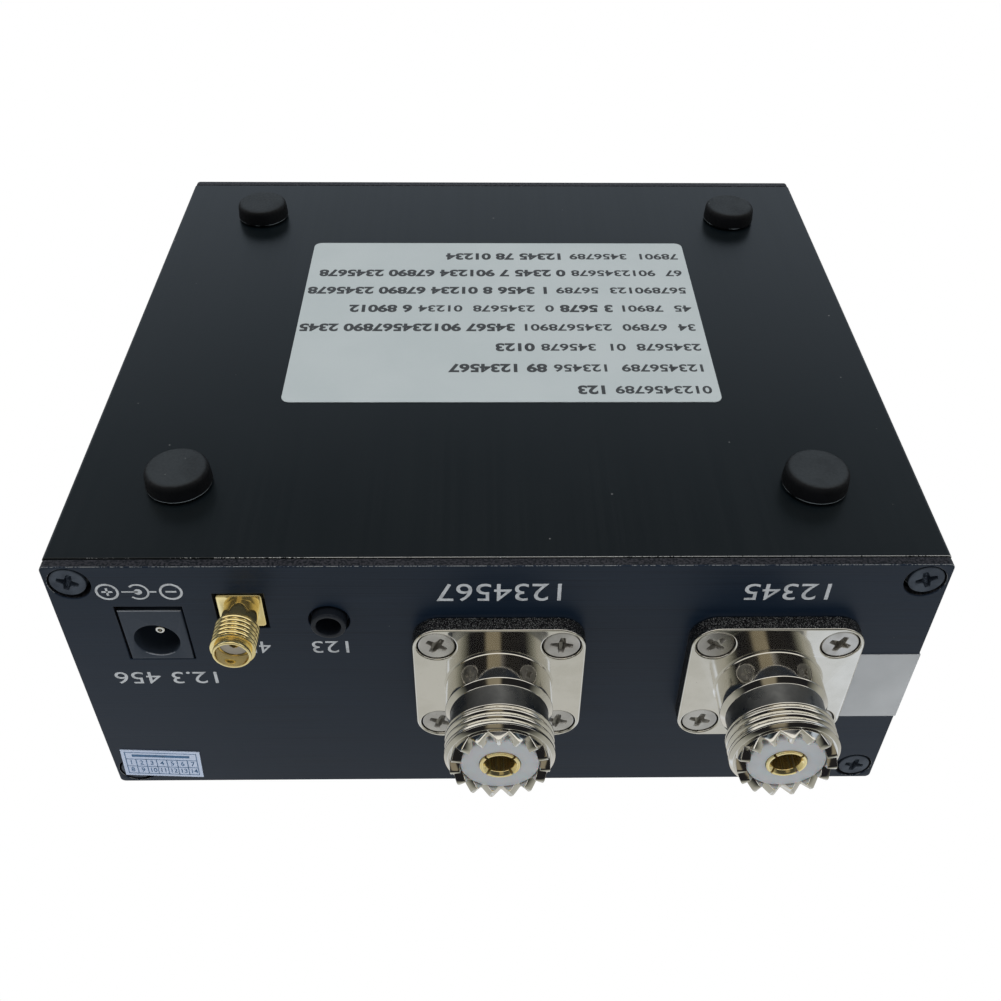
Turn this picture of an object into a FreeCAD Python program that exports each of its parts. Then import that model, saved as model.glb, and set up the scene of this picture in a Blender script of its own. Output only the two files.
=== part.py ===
import FreeCAD, Part
import math
import os

from FreeCAD import Vector

# An antenna changeover box: a split aluminium extrusion closed by two end panels, with two coaxial
# chassis sockets, a small receiver socket, a keying jack and a supply inlet on the rear panel.
# Millimetres. +X is to the right seen from the front, +Y points at the rear panel, +Z is up.
# The origin is on the surface that the feet stand on, at the middle of the whole outline.

# ---------------------------------------------------------------- enclosure
BOX_WIDTH = 125.0
BOX_HEIGHT = 51.0
SHELL_LENGTH = 110.0
PANEL_THICKNESS = 1.5
WALL_THICKNESS = 2.0
COVER_THICKNESS = 1.6
EDGE_RADIUS = 0.5
PANEL_CORNER_RADIUS = 0.8
SPLIT_HEIGHT = 25.5
SEAM_CHAMFER = 0.25
TONGUE_THICKNESS = 0.8
TONGUE_HEIGHT = 1.2
JOINT_CLEARANCE = 0.05
RIB_THICKNESS = 1.0
RIB_DEPTH = 2.0
SLOT_CLEARANCE = 0.1
BOARD_SIDE_CLEARANCE = 0.4
BOARD_END_CLEARANCE = 0.25

# ---------------------------------------------------------------- corner screws
CORNER_SCREW_INSET = 3.2
CORNER_SCREW_HEAD_RADIUS = 2.65
CORNER_SCREW_SHANK_RADIUS = 1.24
CORNER_SCREW_LENGTH = 9.0
CORNER_BOSS_RADIUS = 2.8
HEAD_RIM = 0.25
HEAD_CLEARANCE = 0.15
SHANK_CLEARANCE = 0.01
HOLE_CLEARANCE = 0.35
RECESS_WIDTH = 0.85
RECESS_SHARE = 0.58
RECESS_TIP_SHARE = 0.35
RECESS_DEPTH = 1.4

# ---------------------------------------------------------------- feet
FOOT_HEIGHT = 3.3
FOOT_RADIUS = 4.85
FOOT_SOLE_RADIUS = 4.65
FOOT_EDGE_RADIUS = 0.6
FOOT_UNDERCUT = 0.45
FOOT_SHOULDER_RADIUS = 3.6
FOOT_NECK_RADIUS = 2.3
FOOT_BULB_RADIUS = 2.9
FOOT_BULB_HEIGHT = 1.3
FOOT_REAR_LEFT = (15.8, 17.0)
FOOT_REAR_RIGHT = (15.9, 16.5)
FOOT_FRONT_LEFT = (16.4, 15.2)
FOOT_FRONT_RIGHT = (15.4, 16.1)
FOOT_HOLE_CLEARANCE = 0.05

# ---------------------------------------------------------------- circuit board
BOARD_TOP_HEIGHT = 8.2
BOARD_THICKNESS = 1.6
PIN_HOLE_CLEARANCE = 0.15
PIN_TAIL = 1.2
PIN_WIDTH = 0.8
PIN_THICKNESS = 0.4

# ---------------------------------------------------------------- coaxial chassis sockets
ANTENNA_SOCKET_X = 0.0
SOCKET_SPACING = 40.0
SOCKET_HEIGHT = 22.8
FLANGE_SIZE = 24.9
FLANGE_THICKNESS = 2.6
FLANGE_CORNER_RADIUS = 4.0
FLANGE_EDGE = 0.25
FLANGE_SCREW_SPACING = 17.9
FLANGE_HEAD_RADIUS = 2.7
FLANGE_SHANK_RADIUS = 1.45
FLANGE_SCREW_LENGTH = 9.0
BARREL_RADIUS = 7.8
COLLAR_LENGTH = 5.3
COLLAR_CHAMFER = 0.7
NECK_LENGTH = 3.4
THREAD_LEAD_IN = 0.4
THREAD_PITCH = 25.4 / 24
THREAD_DEPTH = 0.6
THREAD_TURNS = 3
NOSE_CHAMFER = 0.5
CROWN_HEIGHT = 1.7
CROWN_RADIUS = 7.0
CROWN_TEETH = 15
CROWN_TOOTH_HEIGHT = 1.65
SOCKET_BORE_RADIUS = 5.6
REAR_BOSS_RADIUS = 7.5
REAR_BOSS_LENGTH = 4.0
PANEL_HOLE_CLEARANCE = 0.4
INSULATOR_CLEARANCE = 0.05
INSULATOR_SETBACK = 0.95
INSULATOR_REAR_LENGTH = 6.5
CONTACT_SETBACK = 0.7
CONTACT_RADIUS = 2.85
CONTACT_BORE_RADIUS = 2.0
CONTACT_BORE_DEPTH = 15.0
CONTACT_MOUTH_CHAMFER = 0.45
CONTACT_SLOT_WIDTH = 0.4
CONTACT_SLOT_DEPTH = 9.0
CUP_RADIUS = 1.9
CUP_LENGTH = 5.0
CUP_BORE_DEPTH = 3.5
NUT_FLATS = 5.5
NUT_THICKNESS = 2.4
TAG_THICKNESS = 0.5
TAG_RADIUS = 3.2
TAG_TAIL_WIDTH = 2.6

# ---------------------------------------------------------------- feed wires
WIRE_RADIUS = 0.8
WIRE_CLEARANCE = 0.05
WIRE_RUN = 3.0
WIRE_BEND_RADIUS = 5.0

# ---------------------------------------------------------------- receiver socket, threaded 1/4-36
RECEIVER_FROM_LEFT = 26.1
RECEIVER_AXIS_ABOVE_BOARD = 0.8
RECEIVER_FLANGE_SIZE = 6.4
RECEIVER_FLANGE_THICKNESS = 1.65
RECEIVER_CUTOUT_CLEARANCE = 0.4
RECEIVER_NECK_RADIUS = 2.5
RECEIVER_NECK_LENGTH = 2.85
RECEIVER_THREAD_RADIUS = 3.1
RECEIVER_THREAD_PITCH = 25.4 / 36
RECEIVER_THREAD_DEPTH = 0.38
RECEIVER_THREAD_TURNS = 5
RECEIVER_NOSE_GAP = 0.4
RECEIVER_GROOVE_RADIUS = 2.5
RECEIVER_NOSE_RADIUS = 2.65
RECEIVER_NOSE_LENGTH = 1.15
RECEIVER_MOUTH_RADIUS = 2.3
RECEIVER_MOUTH_DEPTH = 1.93
RECEIVER_INSULATOR_RADIUS = 2.05
RECEIVER_PIN_RADIUS = 0.64
RECEIVER_PIN_BORE_RADIUS = 0.48
RECEIVER_PIN_BORE_DEPTH = 3.2
RECEIVER_PIN_TAIL = 3.0
RECEIVER_LEG_LENGTH = 4.2
RECEIVER_LEG_WIDTH = 1.0

# ---------------------------------------------------------------- keying jack
JACK_FROM_LEFT = 38.3
JACK_AXIS_ABOVE_BOARD = 2.8
JACK_BODY_WIDTH = 6.4
JACK_BODY_HEIGHT = 5.8
JACK_BODY_LENGTH = 12.5
JACK_NOSE_RADIUS = 2.5
JACK_NOSE_PROUD = 1.25
JACK_HOLE_CLEARANCE = 0.45
JACK_BORE_RADIUS = 1.8
JACK_BORE_WALL = 1.2
JACK_BLADE_SETBACK = 0.4
JACK_BLADE_THICKNESS = 0.3
JACK_BLADE_WIDTH = 2.0

# ---------------------------------------------------------------- supply inlet
INLET_FROM_LEFT = 13.05
INLET_WIDTH = 9.0
INLET_HEIGHT = 11.0
INLET_LENGTH = 14.2
INLET_CUTOUT_CLEARANCE = 0.35
INLET_FACE_CHAMFER = 0.3
INLET_AXIS_ABOVE_BOARD = 7.1
INLET_BORE_RADIUS = 3.15
INLET_BORE_DEPTH = 10.0
INLET_PIN_RADIUS = 1.05
INLET_PIN_SHANK_RADIUS = 0.8
INLET_PIN_SETBACK = 2.0
INLET_PIN_TIP_ROUNDING = 0.9
INLET_BLADE_SETBACK = 0.5
INLET_BLADE_THICKNESS = 0.4
INLET_BLADE_WIDTH = 2.6

# ---------------------------------------------------------------- labels
LABEL_THICKNESS = 0.12
SPEC_LABEL_WIDTH = 71.0
SPEC_LABEL_LENGTH = 50.6
SPEC_LABEL_CORNER = 1.4
SPEC_LABEL_X = 0.85
SPEC_LABEL_FROM_REAR = 61.8
DATE_LABEL_WIDTH = 12.6
DATE_LABEL_HEIGHT = 7.0
DATE_LABEL_FROM_LEFT = 7.8
DATE_LABEL_HEIGHT_ABOVE_BOX = 45.9
DATE_LABEL_TILT = 3.7
SEAL_HEIGHT = 15.0
SEAL_LOWER_EDGE = 19.0
SEAL_FLANGE_GAP = 0.3
SEAL_SIDE_LENGTH = 22.0

# ---------------------------------------------------------------- changeover relays
RELAY_FROM_REAR = 40.0
RELAY_LENGTH = 18.0
RELAY_WIDTH = 13.0
RELAY_HEIGHT = 17.5
RELAY_WALL = 0.8
RELAY_BASE_THICKNESS = 1.8
RELAY_FIT = 0.05
RELAY_GAP = 0.1
YOKE_THICKNESS = 1.2
YOKE_WIDTH = 8.0
COIL_RADIUS = 4.2
COIL_HEIGHT = 6.6
BOBBIN_FLANGE = 0.7
BOBBIN_FLANGE_RADIUS = 4.6
CORE_RADIUS = 1.75
POLE_RADIUS = 3.0
POLE_THICKNESS = 0.8
ARMATURE_THICKNESS = 1.0
ARMATURE_ANGLE = 4.0
LEAF_THICKNESS = 0.25
LEAF_WIDTH = 5.0
LEAF_OVERHANG = 1.2
RIVET_RADIUS = 1.0
RIVET_HEIGHT = 0.5
CONTACT_REACH = 6.4
ARM_THICKNESS = 0.4
ARM_WIDTH = 2.6

# ---------------------------------------------------------------- parts on the board
CAPACITOR_RADIUS = 5.0
CAPACITOR_HEIGHT = 12.5
CAPACITOR_SPACING = 13.0
CAPACITOR_FROM_LEFT = 16.5
CAPACITOR_FROM_REAR = 34.0
REGULATOR_WIDTH = 6.6
REGULATOR_LENGTH = 6.1
REGULATOR_HEIGHT = 2.3
REGULATOR_LEAD_PITCH = 2.54
REGULATOR_FROM_LEFT = 16.5
REGULATOR_FROM_REAR = 58.0
CHIP_WIDTH = 3.9
CHIP_LENGTH = 4.9
CHIP_HEIGHT = 1.5
CHIP_LEAD_PITCH = 1.27
CHIP_FROM_LEFT = 56.5
CHIP_FROM_REAR = 66.0
LEAD_WIDTH = 0.45
LEAD_LENGTH = 1.1
LEAD_HEIGHT = 0.9
TRANSISTOR_WIDTH = 1.4
TRANSISTOR_LENGTH = 2.9
TRANSISTOR_HEIGHT = 1.1
TRANSISTOR_LEAD_PITCH = 1.9
TRANSISTOR_GAP_FROM_RELAY = 4.0
PASSIVE_WIDTH = 1.25
PASSIVE_LENGTH = 2.0
PASSIVE_HEIGHT = 0.6
PASSIVE_PITCH = 4.0
PASSIVE_ROWS = 2
PASSIVE_COLUMNS = 6

# ---------------------------------------------------------------- front controls
BUTTON_FROM_LEFT = 18.5
BUTTON_RADIUS = 3.5
BUTTON_PROUD = 3.6
BUTTON_TRAVEL = 2.5
BUTTON_CAP_LENGTH = 5.6
BUTTON_EDGE = 0.4
BUTTON_HOLE_CLEARANCE = 0.3
STEM_SIZE = 3.0
STEM_CLEARANCE = 0.05
STEM_IN_CAP = 3.0
STEM_IN_SWITCH = 4.0
SWITCH_SIZE = 8.5
SWITCH_LENGTH = 13.0
SWITCH_GAP = 0.4
POWER_LED_FROM_LEFT = 36.5
LED_SPACING = 10.0
LED_RADIUS = 1.5
LED_RIM_RADIUS = 1.9
LED_RIM_THICKNESS = 0.9
LED_PROUD = 1.6
LED_HOLE_CLEARANCE = 0.1
LED_AXIS_ABOVE_BOARD = 5.5
LED_LEAD_SIZE = 0.5
LED_LEAD_SPACING = 2.54
LED_LEAD_RUN = 3.0

# ---------------------------------------------------------------- derived places
LATHE_FRONT = FLANGE_THICKNESS + COLLAR_LENGTH
THREAD_START = LATHE_FRONT + NECK_LENGTH + THREAD_LEAD_IN
THREAD_CREST = 0.15
THREAD_END = THREAD_START + THREAD_TURNS * THREAD_PITCH + THREAD_CREST * THREAD_PITCH
SOCKET_NOSE = THREAD_END + NOSE_CHAMFER
SOCKET_REACH = SOCKET_NOSE + CROWN_HEIGHT
BOX_LENGTH = SHELL_LENGTH + 2 * PANEL_THICKNESS
REAR_FACE = (BOX_LENGTH + BUTTON_PROUD - SOCKET_REACH) / 2
FRONT_FACE = REAR_FACE - BOX_LENGTH
SHELL_REAR = REAR_FACE - PANEL_THICKNESS
SHELL_FRONT = FRONT_FACE + PANEL_THICKNESS
SIDE = BOX_WIDTH / 2
BOTTOM = FOOT_HEIGHT
TOP = BOTTOM + BOX_HEIGHT
SPLIT = BOTTOM + SPLIT_HEIGHT
INNER_SIDE = SIDE - WALL_THICKNESS
BOARD_TOP = BOTTOM + BOARD_TOP_HEIGHT
BOARD_UNDERSIDE = BOARD_TOP - BOARD_THICKNESS
BOARD_REAR = SHELL_REAR - BOARD_END_CLEARANCE
BOARD_FRONT = SHELL_FRONT + BOARD_END_CLEARANCE
BOARD_SIDE = INNER_SIDE - BOARD_SIDE_CLEARANCE
SOCKET_Z = BOTTOM + SOCKET_HEIGHT
RECEIVER_Z = BOARD_TOP + RECEIVER_AXIS_ABOVE_BOARD
JACK_Z = BOARD_TOP + JACK_AXIS_ABOVE_BOARD
INLET_Z = BOARD_TOP + INLET_AXIS_ABOVE_BOARD
RELAY_Y = REAR_FACE - RELAY_FROM_REAR
LEFT = -SIDE
RADIO_SOCKET_X = ANTENNA_SOCKET_X + SOCKET_SPACING
RECEIVER_X = LEFT + RECEIVER_FROM_LEFT
JACK_X = LEFT + JACK_FROM_LEFT
INLET_X = LEFT + INLET_FROM_LEFT
CAPACITOR_X = LEFT + CAPACITOR_FROM_LEFT
REGULATOR_X = LEFT + REGULATOR_FROM_LEFT
CHIP_X = LEFT + CHIP_FROM_LEFT
BUTTON_X = LEFT + BUTTON_FROM_LEFT
POWER_LED_X = LEFT + POWER_LED_FROM_LEFT
TRANSMIT_LED_X = POWER_LED_X + LED_SPACING
DATE_LABEL_X = LEFT + DATE_LABEL_FROM_LEFT
SOCKETS = {"antenna": ANTENNA_SOCKET_X, "radio": RADIO_SOCKET_X}
RELAYS = {"antenna": (ANTENNA_SOCKET_X + RADIO_SOCKET_X) / 2, "receiver": JACK_X}
# Where each foot is pushed in, from its inset from the side wall and from the end panel's face.
FEET = {
    "foot_rear_left": (-SIDE + FOOT_REAR_LEFT[0], REAR_FACE - FOOT_REAR_LEFT[1]),
    "foot_rear_right": (SIDE - FOOT_REAR_RIGHT[0], REAR_FACE - FOOT_REAR_RIGHT[1]),
    "foot_front_left": (-SIDE + FOOT_FRONT_LEFT[0], FRONT_FACE + FOOT_FRONT_LEFT[1]),
    "foot_front_right": (SIDE - FOOT_FRONT_RIGHT[0], FRONT_FACE + FOOT_FRONT_RIGHT[1]),
}


# ---------------------------------------------------------------- building helpers
def block(x0, x1, y0, y1, z0, z1):
    """A box between two corners."""
    return Part.makeBox(x1 - x0, y1 - y0, z1 - z0, Vector(x0, y0, z0))


def turned(outline, x, y, z):
    """A solid of revolution about a line along Y through (x, z). The outline is a closed list of
    (radius, along) points, and along is measured outwards from y."""
    points = [Vector(x + radius, y + along, z) for radius, along in outline]
    face = Part.Face(Part.makePolygon(points + points[:1]))
    return face.revolve(Vector(x, y, z), Vector(0, 1, 0), 360)


def upright(outline, x, y, z):
    """A solid of revolution about a vertical line through (x, y), from (radius, height) points."""
    points = [Vector(x + radius, y, z + height) for radius, height in outline]
    face = Part.Face(Part.makePolygon(points + points[:1]))
    return face.revolve(Vector(x, y, z), Vector(0, 0, 1), 360)


def along_y(radius, x, z, y0, y1):
    """A cylinder along Y between y0 and y1."""
    return Part.makeCylinder(radius, y1 - y0, Vector(x, y0, z), Vector(0, 1, 0))


def rounded_plate(x0, x1, y0, y1, z0, z1, radius, direction):
    """A box whose four edges along the given direction are rounded."""
    plate = block(x0, x1, y0, y1, z0, z1)
    edges = [edge for edge in plate.Edges if is_along(edge, direction)]
    return plate.makeFillet(radius, edges)


def is_along(edge, direction):
    """Tells whether a straight edge runs along a direction."""
    if not isinstance(edge.Curve, Part.Line):
        return False
    return abs(abs(edge.tangentAt(edge.FirstParameter).dot(direction)) - 1) < 1e-6


def round_edges_at(shape, y):
    """The circular edges of a shape that lie in the plane at y."""
    rounds = [edge for edge in shape.Edges if isinstance(edge.Curve, Part.Circle)]
    return [edge for edge in rounds if abs(edge.Curve.Center.y - y) < 1e-6]


def post(x, y, half_x, half_y, z0, z1):
    """An upright bar of rectangular section centred on (x, y)."""
    return block(x - half_x, x + half_x, y - half_y, y + half_y, z0, z1)


def joined(shapes):
    """One solid from overlapping or touching shapes."""
    whole = shapes[0]
    for shape in shapes[1:]:
        whole = whole.fuse(shape)
    return whole.removeSplitter()


def ring_thread(radius, pitch, depth, start, turns):
    """Outline points of an outside thread drawn as rings: a narrow crest, then a V-shaped groove."""
    points = []
    for turn in range(turns):
        crest = start + turn * pitch
        points.append((radius, crest))
        points.append((radius, crest + THREAD_CREST * pitch))
        points.append((radius - depth, crest + (1 + THREAD_CREST) * pitch / 2))
    points.append((radius, start + turns * pitch))
    points.append((radius, start + (turns + THREAD_CREST) * pitch))
    return points


def cross_recess(head_radius, turn):
    """The driver recess of a cross-head screw: two tapered wings sunk from y = 0 towards -Y."""
    reach = head_radius * RECESS_SHARE
    wings = []
    for angle in (0, 90):
        tip = reach * RECESS_TIP_SHARE
        corners = [(-reach, 0.01), (reach, 0.01), (tip, -RECESS_DEPTH), (-tip, -RECESS_DEPTH)]
        points = [Vector(x, y, -RECESS_WIDTH / 2) for x, y in corners]
        face = Part.Face(Part.makePolygon(points + points[:1]))
        wing = face.extrude(Vector(0, 0, RECESS_WIDTH))
        wing.rotate(Vector(0, 0, 0), Vector(0, 1, 0), angle + turn)
        wings.append(wing)
    return wings[0].fuse(wings[1])


def flat_head_outline(head_radius, shank_radius, length, head_room=0.0, shank_room=0.0):
    """Outline of a countersunk screw with its head's face at 0, or of its hole with room added."""
    head, shank = head_radius + head_room, shank_radius + shank_room
    return [
        (0, 0),
        (head, 0),
        (head, -HEAD_RIM),
        (shank, -HEAD_RIM - (head - shank)),
        (shank, -length),
        (0, -length),
    ]


def flat_head_screw(head_radius, shank_radius, length, turn):
    """A countersunk cross-head screw along Y with its head's face at y = 0."""
    screw = turned(flat_head_outline(head_radius, shank_radius, length), 0, 0, 0)
    return screw.cut(cross_recess(head_radius, turn))


def placed(shape, x, y, z):
    """The shape moved to a place."""
    shape = shape.copy()
    shape.translate(Vector(x, y, z))
    return shape


def corner_places():
    """The four screw places at the corners of an end panel."""
    reach = SIDE - CORNER_SCREW_INSET
    heights = (BOTTOM + CORNER_SCREW_INSET, TOP - CORNER_SCREW_INSET)
    return [(x, z) for z in heights for x in (-reach, reach)]


def flange_places(socket_x):
    """The four screw places of a chassis socket's flange."""
    half = FLANGE_SCREW_SPACING / 2
    return [(socket_x + i * half, SOCKET_Z + k * half) for k in (-1, 1) for i in (-1, 1)]


# ---------------------------------------------------------------- enclosure
def shell_half(lower):
    """One half of the extrusion: a shallow channel with screw ducts and board slots."""
    z_outer, sign = (BOTTOM, 1) if lower else (TOP, -1)

    def level(distance):
        return z_outer + sign * distance

    depth = abs(SPLIT - z_outer)

    def layer(x0, x1, near, far):
        low, high = sorted((level(near), level(far)))
        return block(x0, x1, SHELL_FRONT, SHELL_REAR, low, high)

    outer = layer(-SIDE, SIDE, 0, depth)
    long_edges = [
        edge
        for edge in outer.Edges
        if is_along(edge, Vector(0, 1, 0)) and abs(edge.Vertexes[0].Z - z_outer) < 1e-6
    ]
    outer = outer.makeFillet(EDGE_RADIUS, long_edges)
    seam_edges = [
        edge
        for edge in outer.Edges
        if is_along(edge, Vector(0, 1, 0)) and abs(edge.Vertexes[0].Z - SPLIT) < 1e-6
    ]
    outer = outer.makeChamfer(SEAM_CHAMFER, seam_edges)
    channel = outer.cut(layer(-INNER_SIDE, INNER_SIDE, COVER_THICKNESS, depth + 1))

    pieces = [channel]
    for side in (-1, 1):
        x, z = side * (SIDE - CORNER_SCREW_INSET), level(CORNER_SCREW_INSET)
        duct = along_y(CORNER_BOSS_RADIUS, x, z, SHELL_FRONT, SHELL_REAR)
        pieces.append(duct.common(outer))
        for near in rib_levels():
            x0, x1 = sorted((side * (INNER_SIDE + JOINT_CLEARANCE), side * (INNER_SIDE - RIB_DEPTH)))
            pieces.append(layer(x0, x1, near, near + RIB_THICKNESS))
    half = joined(pieces)
    for side in (-1, 1):
        x, z = side * (SIDE - CORNER_SCREW_INSET), level(CORNER_SCREW_INSET)
        half = half.cut(along_y(CORNER_SCREW_SHANK_RADIUS + SHANK_CLEARANCE, x, z, SHELL_FRONT, SHELL_REAR))
        for face, outward in ((REAR_FACE, 1), (FRONT_FACE, -1)):
            half = half.cut(corner_screw_hole(x, z, face, outward, SHANK_CLEARANCE))
    return half


def corner_screw_hole(x, z, face, outward, shank_room):
    """The countersunk hole for a corner screw, sunk from an end panel's outer face."""
    outline = flat_head_outline(
        CORNER_SCREW_HEAD_RADIUS, CORNER_SCREW_SHANK_RADIUS, CORNER_SCREW_LENGTH, HEAD_CLEARANCE, shank_room
    )
    hole = turned(outline, 0, 0, 0)
    if outward < 0:
        hole.rotate(Vector(0, 0, 0), Vector(0, 0, 1), 180)
    return placed(hole, x, face, z)


def rib_levels():
    """Heights above the outer face of the two ribs that hold the board."""
    lower = BOARD_TOP_HEIGHT - BOARD_THICKNESS - SLOT_CLEARANCE - RIB_THICKNESS
    upper = BOARD_TOP_HEIGHT + SLOT_CLEARANCE
    return (lower, upper)


def tongue(side, clearance):
    """The strip on the lower wall's edge that locates the upper half."""
    x0, x1 = sorted(
        (side * (INNER_SIDE - clearance), side * (INNER_SIDE + TONGUE_THICKNESS + clearance))
    )
    low = SPLIT - JOINT_CLEARANCE
    return block(x0, x1, SHELL_FRONT, SHELL_REAR, low, SPLIT + TONGUE_HEIGHT + clearance)


def bottom_shell():
    half = joined([shell_half(lower=True), tongue(-1, 0), tongue(1, 0)])
    for x, y in FEET.values():
        hole = FOOT_NECK_RADIUS + FOOT_HOLE_CLEARANCE
        half = half.cut(Part.makeCylinder(hole, COVER_THICKNESS + 1, Vector(x, y, BOTTOM - 0.5)))
    return half


def top_shell():
    half = shell_half(lower=False)
    return half.cut(tongue(-1, JOINT_CLEARANCE)).cut(tongue(1, JOINT_CLEARANCE))


def panel_blank(y0, y1, outward):
    """An end panel with its four countersunk corner holes."""
    plate = rounded_plate(-SIDE, SIDE, y0, y1, BOTTOM, TOP, PANEL_CORNER_RADIUS, Vector(0, 1, 0))
    face = y1 if outward > 0 else y0
    for x, z in corner_places():
        plate = plate.cut(corner_screw_hole(x, z, face, outward, HEAD_CLEARANCE))
    return plate


def rear_panel():
    plate = panel_blank(SHELL_REAR, REAR_FACE, 1)
    y0, y1 = SHELL_REAR - 1, REAR_FACE + 1
    for x in SOCKETS.values():
        plate = plate.cut(along_y(REAR_BOSS_RADIUS + PANEL_HOLE_CLEARANCE, x, SOCKET_Z, y0, y1))
        for hole_x, hole_z in flange_places(x):
            plate = plate.cut(along_y(FLANGE_SHANK_RADIUS + HOLE_CLEARANCE, hole_x, hole_z, y0, y1))
    half = INLET_WIDTH / 2 + INLET_CUTOUT_CLEARANCE
    inlet_low = BOARD_TOP - INLET_CUTOUT_CLEARANCE
    inlet_high = BOARD_TOP + INLET_HEIGHT + INLET_CUTOUT_CLEARANCE
    plate = plate.cut(block(INLET_X - half, INLET_X + half, y0, y1, inlet_low, inlet_high))
    half = RECEIVER_FLANGE_SIZE / 2 + RECEIVER_CUTOUT_CLEARANCE
    plate = plate.cut(
        block(RECEIVER_X - half, RECEIVER_X + half, y0, y1, RECEIVER_Z - half, RECEIVER_Z + half)
    )
    return plate.cut(along_y(JACK_NOSE_RADIUS + JACK_HOLE_CLEARANCE, JACK_X, JACK_Z, y0, y1))


def front_panel():
    plate = panel_blank(FRONT_FACE, SHELL_FRONT, -1)
    y0, y1 = FRONT_FACE - 1, SHELL_FRONT + 1
    plate = plate.cut(along_y(BUTTON_RADIUS + BUTTON_HOLE_CLEARANCE, BUTTON_X, button_z(), y0, y1))
    for x in (POWER_LED_X, TRANSMIT_LED_X):
        plate = plate.cut(along_y(LED_RADIUS + LED_HOLE_CLEARANCE, x, led_z(), y0, y1))
    return plate


def panel_screws(face, outward):
    """Four screws whose heads are flush with an end panel's outer face."""
    turns = (20, 70, 45, 10)
    screws = []
    for (x, z), turn in zip(corner_places(), turns):
        screw = flat_head_screw(
            CORNER_SCREW_HEAD_RADIUS, CORNER_SCREW_SHANK_RADIUS, CORNER_SCREW_LENGTH, turn
        )
        if outward < 0:
            screw.rotate(Vector(0, 0, 0), Vector(0, 0, 1), 180)
        screws.append(placed(screw, x, face, z))
    return Part.makeCompound(screws)


def foot(x, y):
    """A push-in rubber foot: a tapered head, a neck through the floor and a bulb above it."""
    inside = FOOT_HEIGHT + COVER_THICKNESS
    outline = [
        (0, 0),
        (FOOT_SOLE_RADIUS, 0),
        (FOOT_RADIUS, FOOT_HEIGHT - FOOT_UNDERCUT),
        (FOOT_SHOULDER_RADIUS, FOOT_HEIGHT - FOOT_UNDERCUT),
        (FOOT_SHOULDER_RADIUS, FOOT_HEIGHT),
        (FOOT_NECK_RADIUS, FOOT_HEIGHT),
        (FOOT_NECK_RADIUS, inside),
        (FOOT_BULB_RADIUS, inside),
        (FOOT_NECK_RADIUS, inside + FOOT_BULB_HEIGHT),
        (0, inside + FOOT_BULB_HEIGHT),
    ]
    body = upright(outline, x, y, 0)
    ground_edges = [
        edge
        for edge in body.Edges
        if isinstance(edge.Curve, Part.Circle)
        and abs(edge.Curve.Center.z) < 1e-6
        and abs(edge.Curve.Radius - FOOT_SOLE_RADIUS) < 1e-6
    ]
    return body.makeFillet(FOOT_EDGE_RADIUS, ground_edges)


# ---------------------------------------------------------------- labels
def spec_label():
    y = REAR_FACE - SPEC_LABEL_FROM_REAR
    return rounded_plate(
        SPEC_LABEL_X - SPEC_LABEL_WIDTH / 2,
        SPEC_LABEL_X + SPEC_LABEL_WIDTH / 2,
        y - SPEC_LABEL_LENGTH / 2,
        y + SPEC_LABEL_LENGTH / 2,
        BOTTOM - LABEL_THICKNESS,
        BOTTOM,
        SPEC_LABEL_CORNER,
        Vector(0, 0, 1),
    )


def date_label():
    half_x, half_z = DATE_LABEL_WIDTH / 2, DATE_LABEL_HEIGHT / 2
    label = block(-half_x, half_x, 0, LABEL_THICKNESS, -half_z, half_z)
    label.rotate(Vector(0, 0, 0), Vector(0, 1, 0), -DATE_LABEL_TILT)
    return placed(label, DATE_LABEL_X, REAR_FACE, BOTTOM + DATE_LABEL_HEIGHT_ABOVE_BOX)


def seal_label():
    """A strip stuck round the edge between the rear panel and the side wall."""
    low = BOTTOM + SEAL_LOWER_EDGE
    high = low + SEAL_HEIGHT
    start = RADIO_SOCKET_X + FLANGE_SIZE / 2 + SEAL_FLANGE_GAP
    skin = SIDE + LABEL_THICKNESS
    on_panel = block(start, skin, REAR_FACE, REAR_FACE + LABEL_THICKNESS, low, high)
    on_side = block(SIDE, skin, REAR_FACE - SEAL_SIDE_LENGTH, REAR_FACE, low, high)
    return joined([on_panel, on_side])


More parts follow.
